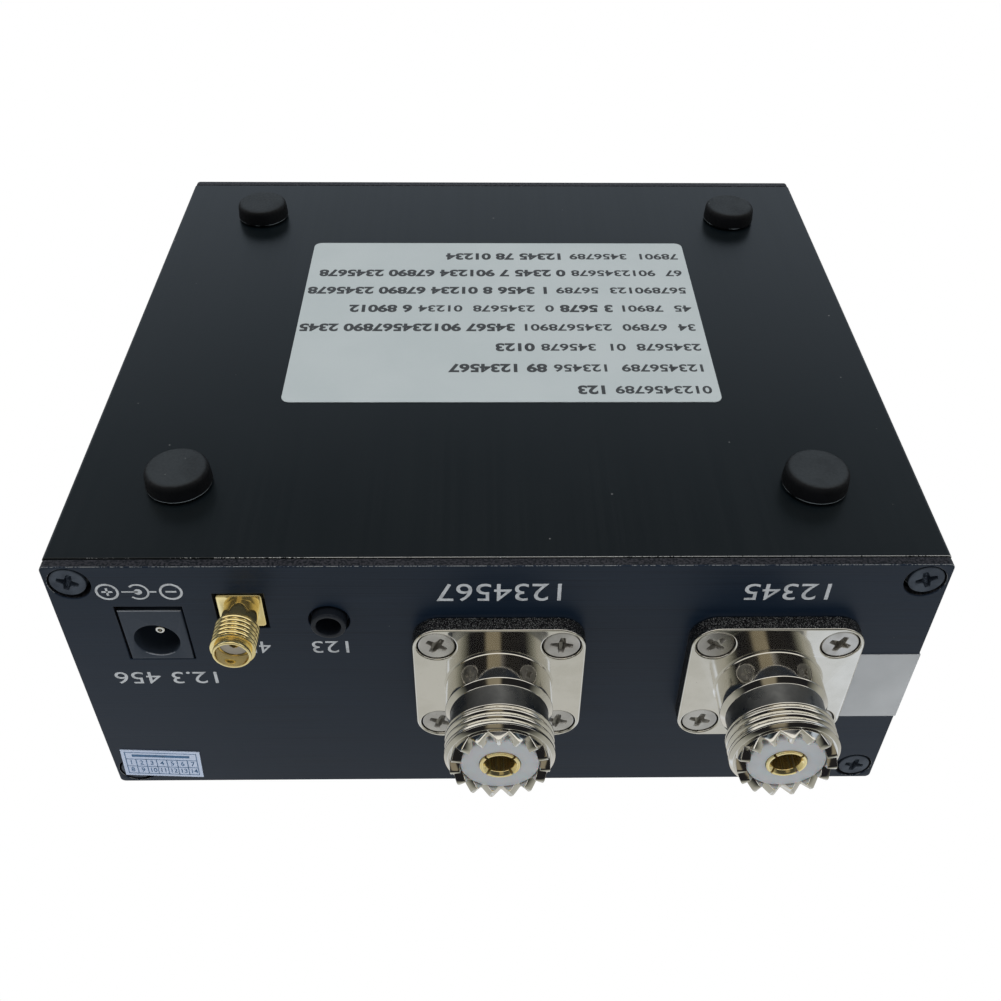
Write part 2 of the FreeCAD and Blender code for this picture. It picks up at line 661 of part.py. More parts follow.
# ---------------------------------------------------------------- coaxial chassis sockets
def socket_shell(x):
    """Flange, collar, neck, thread and toothed crown of a chassis socket, in one piece."""
    outline = [
        (SOCKET_BORE_RADIUS, -REAR_BOSS_LENGTH),
        (REAR_BOSS_RADIUS, -REAR_BOSS_LENGTH),
        (REAR_BOSS_RADIUS, FLANGE_THICKNESS / 2),
        (BARREL_RADIUS, FLANGE_THICKNESS / 2),
        (BARREL_RADIUS, LATHE_FRONT - COLLAR_CHAMFER),
        (BARREL_RADIUS - COLLAR_CHAMFER, LATHE_FRONT),
        (BARREL_RADIUS - COLLAR_CHAMFER, LATHE_FRONT + NECK_LENGTH),
    ]
    outline += ring_thread(BARREL_RADIUS, THREAD_PITCH, THREAD_DEPTH, THREAD_START, THREAD_TURNS)
    outline += [
        (BARREL_RADIUS - NOSE_CHAMFER, SOCKET_NOSE),
        (CROWN_RADIUS, SOCKET_NOSE),
        (CROWN_RADIUS, SOCKET_REACH),
        (SOCKET_BORE_RADIUS, SOCKET_REACH),
    ]
    lathe_work = turned(outline, x, REAR_FACE, SOCKET_Z)
    half = FLANGE_SIZE / 2
    flange = rounded_plate(
        x - half,
        x + half,
        REAR_FACE,
        REAR_FACE + FLANGE_THICKNESS,
        SOCKET_Z - half,
        SOCKET_Z + half,
        FLANGE_CORNER_RADIUS,
        Vector(0, 1, 0),
    )
    front_edges = [
        edge
        for edge in flange.Edges
        if all(abs(v.Y - REAR_FACE - FLANGE_THICKNESS) < 1e-6 for v in edge.Vertexes)
    ]
    flange = flange.makeChamfer(FLANGE_EDGE, front_edges)
    flange = flange.cut(along_y(REAR_BOSS_RADIUS - 0.1, x, SOCKET_Z, REAR_FACE - 1, REAR_FACE + 5))
    for hole_x, hole_z in flange_places(x):
        outline = flat_head_outline(
            FLANGE_HEAD_RADIUS, FLANGE_SHANK_RADIUS, FLANGE_SCREW_LENGTH, HEAD_CLEARANCE, HEAD_CLEARANCE
        )
        flange = flange.cut(turned(outline, hole_x, REAR_FACE + FLANGE_THICKNESS, hole_z))
    shell = joined([lathe_work, flange])
    for tooth in range(CROWN_TEETH):
        shell = shell.cut(crown_notch(x, 360 * (tooth + 0.5) / CROWN_TEETH))
    return shell


def crown_notch(x, angle):
    """The V-shaped cut between two teeth of the crown."""
    half_pitch = math.pi * CROWN_RADIUS / CROWN_TEETH
    base = REAR_FACE + SOCKET_REACH - CROWN_TOOTH_HEIGHT
    rise = CROWN_TOOTH_HEIGHT + 0.2
    spread = half_pitch * rise / CROWN_TOOTH_HEIGHT
    inner, outer = SOCKET_BORE_RADIUS - 1, CROWN_RADIUS + 1
    corners = [(0, base), (spread, base + rise), (-spread, base + rise)]
    points = [Vector(x + across, y, SOCKET_Z + inner) for across, y in corners]
    notch = Part.Face(Part.makePolygon(points + points[:1])).extrude(Vector(0, 0, outer - inner))
    notch.rotate(Vector(x, REAR_FACE, SOCKET_Z), Vector(0, 1, 0), angle)
    return notch


def socket_insulator(x):
    outline = [
        (CONTACT_RADIUS + INSULATOR_CLEARANCE, -INSULATOR_REAR_LENGTH),
        (SOCKET_BORE_RADIUS - INSULATOR_CLEARANCE, -INSULATOR_REAR_LENGTH),
        (SOCKET_BORE_RADIUS - INSULATOR_CLEARANCE, SOCKET_REACH - INSULATOR_SETBACK),
        (CONTACT_RADIUS + INSULATOR_CLEARANCE, SOCKET_REACH - INSULATOR_SETBACK),
    ]
    return turned(outline, x, REAR_FACE, SOCKET_Z)


def socket_contact(x):
    """The centre contact: a slotted tube in front and a solder cup behind."""
    mouth = SOCKET_REACH - CONTACT_SETBACK
    cup_end = -INSULATOR_REAR_LENGTH - CUP_LENGTH
    outline = [
        (0, mouth - CONTACT_BORE_DEPTH),
        (CONTACT_BORE_RADIUS, mouth - CONTACT_BORE_DEPTH),
        (CONTACT_BORE_RADIUS, mouth - CONTACT_MOUTH_CHAMFER),
        (CONTACT_BORE_RADIUS + CONTACT_MOUTH_CHAMFER, mouth),
        (CONTACT_RADIUS, mouth),
        (CONTACT_RADIUS, -INSULATOR_REAR_LENGTH),
        (CUP_RADIUS, -INSULATOR_REAR_LENGTH),
        (CUP_RADIUS, cup_end),
        (WIRE_RADIUS + WIRE_CLEARANCE, cup_end),
        (WIRE_RADIUS + WIRE_CLEARANCE, cup_end + CUP_BORE_DEPTH),
        (0, cup_end + CUP_BORE_DEPTH),
    ]
    contact = turned(outline, x, REAR_FACE, SOCKET_Z)
    slot_end = REAR_FACE + mouth
    for angle in (45, 135):
        slot = block(
            -CONTACT_RADIUS - 1,
            CONTACT_RADIUS + 1,
            slot_end - CONTACT_SLOT_DEPTH,
            slot_end + 1,
            -CONTACT_SLOT_WIDTH / 2,
            CONTACT_SLOT_WIDTH / 2,
        )
        slot.rotate(Vector(0, 0, 0), Vector(0, 1, 0), angle)
        contact = contact.cut(placed(slot, x, 0, SOCKET_Z))
    return contact


def socket_screws(x):
    turns = (15, 60, 80, 35)
    screws = [
        placed(
            flat_head_screw(FLANGE_HEAD_RADIUS, FLANGE_SHANK_RADIUS, FLANGE_SCREW_LENGTH, turn),
            hole_x,
            REAR_FACE + FLANGE_THICKNESS,
            hole_z,
        )
        for (hole_x, hole_z), turn in zip(flange_places(x), turns)
    ]
    return Part.makeCompound(screws)


def hexagon_nut(x, y, z):
    """A nut whose outer face is at y and whose body reaches towards -Y."""
    reach = NUT_FLATS / math.sqrt(3)
    corners = [
        Vector(x + reach * math.cos(math.radians(a)), y, z + reach * math.sin(math.radians(a)))
        for a in range(0, 360, 60)
    ]
    nut = Part.Face(Part.makePolygon(corners + corners[:1])).extrude(Vector(0, -NUT_THICKNESS, 0))
    return nut.cut(along_y(FLANGE_SHANK_RADIUS + SHANK_CLEARANCE, x, z, y - NUT_THICKNESS, y))


def socket_nuts(x):
    """Four nuts behind the panel; the lower outer one sits on the solder tag."""
    nuts = []
    for index, (hole_x, hole_z) in enumerate(flange_places(x)):
        seat = SHELL_REAR - (TAG_THICKNESS if index == 0 else 0)
        nuts.append(hexagon_nut(hole_x, seat, hole_z))
    return Part.makeCompound(nuts)


def solder_tag(x):
    """A ring under one nut with a tail that reaches down to the board's top."""
    hole_x, hole_z = flange_places(x)[0]
    ring = along_y(TAG_RADIUS, hole_x, hole_z, SHELL_REAR - TAG_THICKNESS, SHELL_REAR)
    tail = block(
        hole_x - TAG_TAIL_WIDTH / 2,
        hole_x + TAG_TAIL_WIDTH / 2,
        SHELL_REAR - TAG_THICKNESS,
        SHELL_REAR,
        BOARD_TOP,
        hole_z,
    )
    hole = along_y(FLANGE_SHANK_RADIUS + HOLE_CLEARANCE, hole_x, hole_z, SHELL_REAR - 2, SHELL_REAR + 1)
    return joined([ring, tail]).cut(hole)


def feed_wire(x):
    """A stiff wire from the solder cup, forwards and down to the board in one round bend."""
    start = REAR_FACE - INSULATOR_REAR_LENGTH - CUP_LENGTH + CUP_BORE_DEPTH - WIRE_CLEARANCE
    bend = REAR_FACE - INSULATOR_REAR_LENGTH - CUP_LENGTH - WIRE_RUN
    corner = math.sqrt(0.5) * WIRE_BEND_RADIUS
    middle = Vector(x, bend - corner, SOCKET_Z - WIRE_BEND_RADIUS + corner)
    foot_y = bend - WIRE_BEND_RADIUS
    path = Part.Wire(
        [
            Part.LineSegment(Vector(x, start, SOCKET_Z), Vector(x, bend, SOCKET_Z)).toShape(),
            Part.Arc(
                Vector(x, bend, SOCKET_Z), middle, Vector(x, foot_y, SOCKET_Z - WIRE_BEND_RADIUS)
            ).toShape(),
            Part.LineSegment(
                Vector(x, foot_y, SOCKET_Z - WIRE_BEND_RADIUS), Vector(x, foot_y, BOARD_TOP)
            ).toShape(),
        ]
    )
    circle = Part.Wire(Part.Circle(Vector(x, start, SOCKET_Z), Vector(0, 1, 0), WIRE_RADIUS).toShape())
    return path.makePipeShell([circle], True, False)


# ---------------------------------------------------------------- receiver socket
def receiver_nose():
    thread_end = RECEIVER_NECK_LENGTH + (RECEIVER_THREAD_TURNS + THREAD_CREST) * RECEIVER_THREAD_PITCH
    return thread_end + RECEIVER_NOSE_GAP + RECEIVER_NOSE_LENGTH


def receiver_body():
    """Flange, neck, thread and nose of the small threaded socket, with legs that grip the board."""
    thread = ring_thread(
        RECEIVER_THREAD_RADIUS,
        RECEIVER_THREAD_PITCH,
        RECEIVER_THREAD_DEPTH,
        RECEIVER_NECK_LENGTH,
        RECEIVER_THREAD_TURNS,
    )
    nose = receiver_nose()
    bore = RECEIVER_INSULATOR_RADIUS + INSULATOR_CLEARANCE
    outline = [(bore, -RECEIVER_FLANGE_THICKNESS / 2), (RECEIVER_NECK_RADIUS, -RECEIVER_FLANGE_THICKNESS / 2)]
    outline += [(RECEIVER_NECK_RADIUS, RECEIVER_NECK_LENGTH)] + thread
    outline += [
        (RECEIVER_GROOVE_RADIUS, thread[-1][1]),
        (RECEIVER_GROOVE_RADIUS, nose - RECEIVER_NOSE_LENGTH),
        (RECEIVER_NOSE_RADIUS, nose - RECEIVER_NOSE_LENGTH),
        (RECEIVER_NOSE_RADIUS, nose - 0.15),
        (RECEIVER_NOSE_RADIUS - 0.15, nose),
        (RECEIVER_MOUTH_RADIUS, nose),
        (RECEIVER_MOUTH_RADIUS, nose - RECEIVER_MOUTH_DEPTH),
        (bore, nose - RECEIVER_MOUTH_DEPTH),
    ]
    barrel = turned(outline, RECEIVER_X, REAR_FACE, RECEIVER_Z)
    half = RECEIVER_FLANGE_SIZE / 2
    flange = block(
        RECEIVER_X - half,
        RECEIVER_X + half,
        REAR_FACE - RECEIVER_FLANGE_THICKNESS,
        REAR_FACE,
        RECEIVER_Z - half,
        RECEIVER_Z + half,
    )
    flange = flange.cut(along_y(bore, RECEIVER_X, RECEIVER_Z, REAR_FACE - 3, REAR_FACE + 1))
    legs = []
    rear = REAR_FACE - RECEIVER_FLANGE_THICKNESS
    for side in (-1, 1):
        x0, x1 = sorted((RECEIVER_X + side * half, RECEIVER_X + side * (half - RECEIVER_LEG_WIDTH)))
        for z0, z1 in (
            (BOARD_TOP, BOARD_TOP + RECEIVER_LEG_WIDTH),
            (BOARD_UNDERSIDE - RECEIVER_LEG_WIDTH, BOARD_UNDERSIDE),
        ):
            legs.append(block(x0, x1, rear - RECEIVER_LEG_LENGTH, rear + 0.2, z0, z1))
    return joined([flange, barrel] + legs)


def receiver_insulator():
    face = receiver_nose() - RECEIVER_MOUTH_DEPTH
    bore = RECEIVER_PIN_RADIUS + INSULATOR_CLEARANCE
    outline = [
        (bore, -RECEIVER_FLANGE_THICKNESS),
        (RECEIVER_INSULATOR_RADIUS, -RECEIVER_FLANGE_THICKNESS),
        (RECEIVER_INSULATOR_RADIUS, face),
        (bore, face),
    ]
    return turned(outline, RECEIVER_X, REAR_FACE, RECEIVER_Z)


def receiver_contact():
    face = receiver_nose() - RECEIVER_MOUTH_DEPTH
    outline = [
        (0, -RECEIVER_FLANGE_THICKNESS - RECEIVER_PIN_TAIL),
        (RECEIVER_PIN_RADIUS, -RECEIVER_FLANGE_THICKNESS - RECEIVER_PIN_TAIL),
        (RECEIVER_PIN_RADIUS, face),
        (RECEIVER_PIN_BORE_RADIUS, face),
        (RECEIVER_PIN_BORE_RADIUS, face - RECEIVER_PIN_BORE_DEPTH),
        (0, face - RECEIVER_PIN_BORE_DEPTH),
    ]
    return turned(outline, RECEIVER_X, REAR_FACE, RECEIVER_Z)


# ---------------------------------------------------------------- keying jack
def jack_body():
    front = BOARD_REAR
    body = block(
        JACK_X - JACK_BODY_WIDTH / 2,
        JACK_X + JACK_BODY_WIDTH / 2,
        front - JACK_BODY_LENGTH,
        front,
        BOARD_TOP,
        BOARD_TOP + JACK_BODY_HEIGHT,
    )
    nose = along_y(JACK_NOSE_RADIUS, JACK_X, JACK_Z, front - 1, REAR_FACE + JACK_NOSE_PROUD)
    bore_end = front - JACK_BODY_LENGTH + JACK_BORE_WALL
    bore = along_y(JACK_BORE_RADIUS, JACK_X, JACK_Z, bore_end, REAR_FACE + JACK_NOSE_PROUD + 1)
    body = joined([body, nose]).cut(bore)
    for y in jack_blade_places():
        x0 = jack_blade_x() - SLOT_CLEARANCE
        x1 = JACK_X + JACK_BODY_WIDTH / 2 + 1
        half = JACK_BLADE_WIDTH / 2 + SLOT_CLEARANCE
        pocket = block(x0, x1, y - half, y + half, BOARD_TOP - 1, BOARD_TOP + JACK_BODY_HEIGHT - 1)
        body = body.cut(pocket)
    return body


def jack_blade_x():
    return JACK_X + JACK_BORE_RADIUS + JACK_BLADE_SETBACK


def jack_blade_places():
    """Where along the jack its sleeve, ring and tip springs stand."""
    step = JACK_BODY_LENGTH / 4
    return [BOARD_REAR - step * (index + 1) for index in range(3)]


def jack_contacts():
    """Three spring blades in pockets of the jack's side, each with a tail through the board."""
    blades = []
    x0 = jack_blade_x()
    for y in jack_blade_places():
        blade = block(
            x0,
            x0 + JACK_BLADE_THICKNESS,
            y - JACK_BLADE_WIDTH / 2,
            y + JACK_BLADE_WIDTH / 2,
            BOARD_TOP,
            BOARD_TOP + JACK_BODY_HEIGHT - 1 - SLOT_CLEARANCE,
        )
        tail = block(
            x0,
            x0 + JACK_BLADE_THICKNESS,
            y - PIN_WIDTH / 2,
            y + PIN_WIDTH / 2,
            BOARD_UNDERSIDE - PIN_TAIL,
            BOARD_TOP + 1,
        )
        blades.append(joined([blade, tail]))
    return Part.makeCompound(blades)


# ---------------------------------------------------------------- supply inlet
def inlet_body():
    half = INLET_WIDTH / 2
    body = block(
        INLET_X - half,
        INLET_X + half,
        REAR_FACE - INLET_LENGTH,
        REAR_FACE,
        BOARD_TOP,
        BOARD_TOP + INLET_HEIGHT,
    )
    face_edges = [
        edge for edge in body.Edges if all(abs(v.Y - REAR_FACE) < 1e-6 for v in edge.Vertexes)
    ]
    body = body.makeChamfer(INLET_FACE_CHAMFER, face_edges)
    bore_end = REAR_FACE - INLET_BORE_DEPTH
    body = body.cut(along_y(INLET_BORE_RADIUS, INLET_X, INLET_Z, bore_end, REAR_FACE + 1))
    mouth = Part.makeCone(
        INLET_BORE_RADIUS,
        INLET_BORE_RADIUS + INLET_FACE_CHAMFER,
        INLET_FACE_CHAMFER,
        Vector(INLET_X, REAR_FACE - INLET_FACE_CHAMFER, INLET_Z),
        Vector(0, 1, 0),
    )
    body = body.cut(mouth)
    shank_hole = INLET_PIN_SHANK_RADIUS + SHANK_CLEARANCE
    body = body.cut(along_y(shank_hole, INLET_X, INLET_Z, REAR_FACE - INLET_LENGTH, bore_end + 1))
    x, y = inlet_blade_place()
    half = INLET_BLADE_WIDTH / 2 + SLOT_CLEARANCE
    pocket = block(
        x - SLOT_CLEARANCE,
        x + INLET_BLADE_THICKNESS + SLOT_CLEARANCE,
        y - half,
        y + half,
        BOARD_TOP - 1,
        INLET_Z + INLET_BLADE_WIDTH / 2 + SLOT_CLEARANCE,
    )
    return body.cut(pocket)


def inlet_blade_place():
    return INLET_X + INLET_BORE_RADIUS + INLET_BLADE_SETBACK, REAR_FACE - INLET_BORE_DEPTH / 2


def inlet_pin():
    """The centre pin, with a round tip and a thinner shank held in the inlet's back wall."""
    tip = REAR_FACE - INLET_PIN_SETBACK
    bore_end = REAR_FACE - INLET_BORE_DEPTH
    pin = along_y(INLET_PIN_RADIUS, INLET_X, INLET_Z, bore_end, tip)
    pin = pin.makeFillet(INLET_PIN_TIP_ROUNDING, round_edges_at(pin, tip))
    shank = along_y(INLET_PIN_SHANK_RADIUS, INLET_X, INLET_Z, REAR_FACE - INLET_LENGTH, bore_end)
    tail = block(
        INLET_X - PIN_WIDTH / 2,
        INLET_X + PIN_WIDTH / 2,
        REAR_FACE - INLET_LENGTH - PIN_THICKNESS,
        REAR_FACE - INLET_LENGTH,
        BOARD_UNDERSIDE - PIN_TAIL,
        INLET_Z + INLET_PIN_SHANK_RADIUS,
    )
    return joined([pin, shank, tail])


def inlet_sleeve_blade():
    """The sleeve contact: a blade beside the bore with a tail through the board."""
    x, y = inlet_blade_place()
    blade = block(
        x,
        x + INLET_BLADE_THICKNESS,
        y - INLET_BLADE_WIDTH / 2,
        y + INLET_BLADE_WIDTH / 2,
        BOARD_TOP,
        INLET_Z + INLET_BLADE_WIDTH / 2,
    )
    middle = x + INLET_BLADE_THICKNESS / 2
    low = BOARD_UNDERSIDE - PIN_TAIL
    tail = post(middle, y, INLET_BLADE_THICKNESS / 2, PIN_WIDTH / 2, low, BOARD_TOP + 1)
    return joined([blade, tail])


# ---------------------------------------------------------------- changeover relays
def relay_levels():
    """Heights above the board of the relay's yoke, coil, pole face and hinge."""
    yoke_top = RELAY_BASE_THICKNESS + YOKE_THICKNESS
    coil_low = yoke_top + BOBBIN_FLANGE
    coil_high = coil_low + COIL_HEIGHT
    pole_top = coil_high + BOBBIN_FLANGE + POLE_THICKNESS
    return {"yoke_top": yoke_top, "coil_low": coil_low, "coil_high": coil_high, "pole_top": pole_top}


def relay_hinge_y():
    """The hinge line lies on the front face of the yoke's upright leg."""
    return RELAY_Y - BOBBIN_FLANGE_RADIUS - RELAY_GAP - YOKE_THICKNESS - relay_shift()


def relay_shift():
    """How far the coil stands in front of the relay's middle, to leave room for the contacts."""
    room = (RELAY_LENGTH - 2 * RELAY_WALL) / 2
    return room - BOBBIN_FLANGE_RADIUS - YOKE_THICKNESS - 4 * RELAY_GAP


def coil_y():
    return RELAY_Y - relay_shift()


def relay_base(x):
    half_width = RELAY_WIDTH / 2 - RELAY_WALL - RELAY_FIT
    half_length = RELAY_LENGTH / 2 - RELAY_WALL - RELAY_FIT
    base = block(
        x - half_width,
        x + half_width,
        RELAY_Y - half_length,
        RELAY_Y + half_length,
        BOARD_TOP,
        BOARD_TOP + RELAY_BASE_THICKNESS,
    )
    for x0, x1, y0, y1 in relay_pins(x):
        gap = SLOT_CLEARANCE
        base = base.cut(block(x0 - gap, x1 + gap, y0 - gap, y1 + gap, BOARD_TOP - 1, BOARD_TOP + 5))
    return base


def relay_cover(x):
    outer = rounded_plate(
        x - RELAY_WIDTH / 2,
        x + RELAY_WIDTH / 2,
        RELAY_Y - RELAY_LENGTH / 2,
        RELAY_Y + RELAY_LENGTH / 2,
        BOARD_TOP,
        BOARD_TOP + RELAY_HEIGHT,
        RELAY_WALL,
        Vector(0, 0, 1),
    )
    inner = block(
        x - RELAY_WIDTH / 2 + RELAY_WALL,
        x + RELAY_WIDTH / 2 - RELAY_WALL,
        RELAY_Y - RELAY_LENGTH / 2 + RELAY_WALL,
        RELAY_Y + RELAY_LENGTH / 2 - RELAY_WALL,
        BOARD_TOP - 1,
        BOARD_TOP + RELAY_HEIGHT - RELAY_WALL,
    )
    return outer.cut(inner)


def relay_bobbin(x):
    levels = relay_levels()
    bore = CORE_RADIUS + RELAY_FIT
    tube = bore + BOBBIN_FLANGE
    outline = [
        (bore, levels["yoke_top"]),
        (BOBBIN_FLANGE_RADIUS, levels["yoke_top"]),
        (BOBBIN_FLANGE_RADIUS, levels["coil_low"]),
        (tube, levels["coil_low"]),
        (tube, levels["coil_high"]),
        (BOBBIN_FLANGE_RADIUS, levels["coil_high"]),
        (BOBBIN_FLANGE_RADIUS, levels["coil_high"] + BOBBIN_FLANGE),
        (bore, levels["coil_high"] + BOBBIN_FLANGE),
    ]
    return upright(outline, x, coil_y(), BOARD_TOP)


def relay_winding(x):
    levels = relay_levels()
    inner = CORE_RADIUS + RELAY_FIT + BOBBIN_FLANGE
    outline = [
        (inner, levels["coil_low"]),
        (COIL_RADIUS, levels["coil_low"]),
        (COIL_RADIUS, levels["coil_high"]),
        (inner, levels["coil_high"]),
    ]
    return upright(outline, x, coil_y(), BOARD_TOP)


def relay_yoke(x):
    """The iron circuit: a core with a pole face, riveted into an L-shaped strip."""
    levels = relay_levels()
    core = upright(
        [
            (0, RELAY_BASE_THICKNESS),
            (CORE_RADIUS, RELAY_BASE_THICKNESS),
            (CORE_RADIUS, levels["pole_top"] - POLE_THICKNESS),
            (POLE_RADIUS, levels["pole_top"] - POLE_THICKNESS),
            (POLE_RADIUS, levels["pole_top"]),
            (0, levels["pole_top"]),
        ],
        x,
        coil_y(),
        BOARD_TOP,
    )
    hinge = relay_hinge_y()
    half = YOKE_WIDTH / 2
    low = BOARD_TOP + RELAY_BASE_THICKNESS
    strip = block(x - half, x + half, hinge, coil_y() + POLE_RADIUS, low, low + YOKE_THICKNESS)
    leg = block(x - half, x + half, hinge, hinge + YOKE_THICKNESS, low, BOARD_TOP + levels["pole_top"])
    return joined([core, strip, leg])


def contact_y():
    return coil_y() + CONTACT_REACH


def relay_armature(x):
    """The rocking plate with its leaf and contact rivets, standing open by the armature's angle."""
    levels = relay_levels()
    hinge = relay_hinge_y()
    low = BOARD_TOP + levels["pole_top"] + RELAY_GAP
    top = low + ARMATURE_THICKNESS
    half = YOKE_WIDTH / 2
    plate = block(x - half, x + half, hinge, coil_y() + POLE_RADIUS, low, top)
    leaf_end = contact_y() + LEAF_OVERHANG
    leaf = block(
        x - LEAF_WIDTH / 2, x + LEAF_WIDTH / 2, coil_y() - POLE_RADIUS, leaf_end, top, top + LEAF_THICKNESS
    )
    rivet_low = top - RIVET_HEIGHT
    rivet = Part.makeCylinder(
        RIVET_RADIUS, 2 * RIVET_HEIGHT + LEAF_THICKNESS, Vector(x, contact_y(), rivet_low)
    )
    moving = joined([plate, leaf, rivet])
    moving.rotate(Vector(x, hinge, BOARD_TOP + levels["pole_top"]), Vector(1, 0, 0), ARMATURE_ANGLE)
    return moving


def fixed_contact_levels():
    """Heights of the two fixed contacts: one meets the closed armature, one the open armature."""
    levels = relay_levels()
    closed_top = BOARD_TOP + levels["pole_top"] + RELAY_GAP + ARMATURE_THICKNESS
    lower_face = closed_top - RIVET_HEIGHT - RELAY_GAP
    reach = contact_y() + RIVET_RADIUS - relay_hinge_y()
    rise = reach * math.sin(math.radians(ARMATURE_ANGLE))
    upper_face = closed_top + LEAF_THICKNESS + RIVET_HEIGHT + rise + RELAY_GAP
    return lower_face, upper_face


def relay_pins(x):
    """Outlines, seen from above, of the relay's pins: two contacts, the yoke and two coil ends."""
    leg_y = contact_y() + LEAF_OVERHANG + 4 * RELAY_GAP
    reach = ARM_WIDTH / 2 + RELAY_GAP
    pins = [(x + side * reach - PIN_WIDTH / 2, leg_y) for side in (-1, 1)]
    outlines = [(x0, x0 + PIN_WIDTH, y0, y0 + PIN_THICKNESS) for x0, y0 in pins]
    coil_reach = BOBBIN_FLANGE_RADIUS + RELAY_GAP
    for side in (-1, 1):
        x0, x1 = sorted((x + side * coil_reach, x + side * (coil_reach + PIN_THICKNESS)))
        outlines.append((x0, x1, coil_y() - PIN_WIDTH / 2, coil_y() + PIN_WIDTH / 2))
    return outlines


def relay_contacts(x):
    """Two bent strips with rivets over and under the leaf, and the two coil pins."""
    lower_face, upper_face = fixed_contact_levels()
    pins = relay_pins(x)
    solids = []
    for (x0, x1, y0, y1), face, up in zip(pins[:2], (lower_face, upper_face), (-1, 1)):
        middle = (x0 + x1) / 2
        arm_z0, arm_z1 = sorted((face + up * RIVET_HEIGHT, face + up * (RIVET_HEIGHT + ARM_THICKNESS)))
        leg = block(x0, x1, y0, y1, BOARD_UNDERSIDE - PIN_TAIL, arm_z1)
        low, high = sorted((middle, x))
        arm = block(low - PIN_WIDTH / 2, high + PIN_WIDTH / 2, contact_y() - RIVET_RADIUS, y1, arm_z0, arm_z1)
        rivet_z = min(face, face + up * RIVET_HEIGHT)
        rivet = Part.makeCylinder(RIVET_RADIUS * 0.9, RIVET_HEIGHT, Vector(x, contact_y(), rivet_z))
        solids.append(joined([leg, arm, rivet]))
    for x0, x1, y0, y1 in pins[2:]:
        pin_top = BOARD_TOP + relay_levels()["yoke_top"] + BOBBIN_FLANGE
        solids.append(block(x0, x1, y0, y1, BOARD_UNDERSIDE - PIN_TAIL, pin_top))
    return Part.makeCompound(solids)


# ---------------------------------------------------------------- parts on the board
def capacitors():
    """Two electrolytic capacitors standing one behind the other."""
    cans = []
    for index in range(2):
        y = REAR_FACE - CAPACITOR_FROM_REAR + index * CAPACITOR_SPACING
        groove = CAPACITOR_RADIUS * 0.08
        can = upright(
            [
                (0, 0),
                (CAPACITOR_RADIUS, 0),
                (CAPACITOR_RADIUS, 1.0),
                (CAPACITOR_RADIUS - groove, 1.5),
                (CAPACITOR_RADIUS, 2.0),
                (CAPACITOR_RADIUS, CAPACITOR_HEIGHT - groove),
                (CAPACITOR_RADIUS - groove, CAPACITOR_HEIGHT),
                (0, CAPACITOR_HEIGHT),
            ],
            CAPACITOR_X,
            y,
            BOARD_TOP,
        )
        cans.append(can)
    return Part.makeCompound(cans)


def flat_package(x, y, width, length, height, leads_per_side, lead_pitch):
    """A surface-mounted package: a low body with flat leads on both long sides."""
    body = block(x - width / 2, x + width / 2, y - length / 2, y + length / 2, BOARD_TOP, BOARD_TOP + height)
    pieces = [body]
    for side in (-1, 1):
        for index in range(leads_per_side):
            along = y + (index - (leads_per_side - 1) / 2) * lead_pitch
            x0, x1 = sorted((x + side * (width / 2 - 0.1), x + side * (width / 2 + LEAD_LENGTH)))
            half = LEAD_WIDTH / 2
            pieces.append(block(x0, x1, along - half, along + half, BOARD_TOP, BOARD_TOP + LEAD_HEIGHT / 3))
    return joined(pieces)


def regulator():
    y = REAR_FACE - REGULATOR_FROM_REAR
    body = flat_package(
        REGULATOR_X, y, REGULATOR_WIDTH, REGULATOR_LENGTH, REGULATOR_HEIGHT, 2, REGULATOR_LEAD_PITCH
    )
    tab = block(
        REGULATOR_X - REGULATOR_WIDTH / 2 + LEAD_WIDTH,
        REGULATOR_X + REGULATOR_WIDTH / 2 - LEAD_WIDTH,
        y - REGULATOR_LENGTH / 2 - LEAD_LENGTH,
        y,
        BOARD_TOP,
        BOARD_TOP + LEAD_HEIGHT / 2,
    )
    return joined([body, tab])


def comparator_chip():
    y = REAR_FACE - CHIP_FROM_REAR
    return flat_package(CHIP_X, y, CHIP_WIDTH, CHIP_LENGTH, CHIP_HEIGHT, 4, CHIP_LEAD_PITCH)


def driver_transistors():
    """One small transistor in front of each relay, which switches its coil."""
    y = RELAY_Y - RELAY_LENGTH / 2 - TRANSISTOR_GAP_FROM_RELAY
    solids = [
        flat_package(
            x, y, TRANSISTOR_WIDTH, TRANSISTOR_LENGTH, TRANSISTOR_HEIGHT, 2, TRANSISTOR_LEAD_PITCH
        )
        for x in RELAYS.values()
    ]
    return Part.makeCompound(solids)


def passive_parts():
    """Chip resistors and capacitors in two rows beside the comparator."""
    y_start = REAR_FACE - CHIP_FROM_REAR - CHIP_LENGTH - PASSIVE_LENGTH
    solids = []
    for row in range(PASSIVE_ROWS):
        for column in range(PASSIVE_COLUMNS):
            x = CHIP_X + (column - (PASSIVE_COLUMNS - 1) / 2) * PASSIVE_PITCH
            y = y_start - row * PASSIVE_PITCH
            solids.append(
                block(
                    x - PASSIVE_WIDTH / 2,
                    x + PASSIVE_WIDTH / 2,
                    y - PASSIVE_LENGTH / 2,
                    y + PASSIVE_LENGTH / 2,
                    BOARD_TOP,
                    BOARD_TOP + PASSIVE_HEIGHT,
                )
            )
    return Part.makeCompound(solids)


def circuit_board():
    """The board that slides in the lower half's slots, with holes for every pin and tail."""
    board = block(-BOARD_SIDE, BOARD_SIDE, BOARD_FRONT, BOARD_REAR, BOARD_UNDERSIDE, BOARD_TOP)
    for x0, x1, y0, y1 in pin_outlines():
        gap = PIN_HOLE_CLEARANCE
        hole = block(x0 - gap, x1 + gap, y0 - gap, y1 + gap, BOARD_UNDERSIDE - 1, BOARD_TOP + 1)
        board = board.cut(hole)
    return board


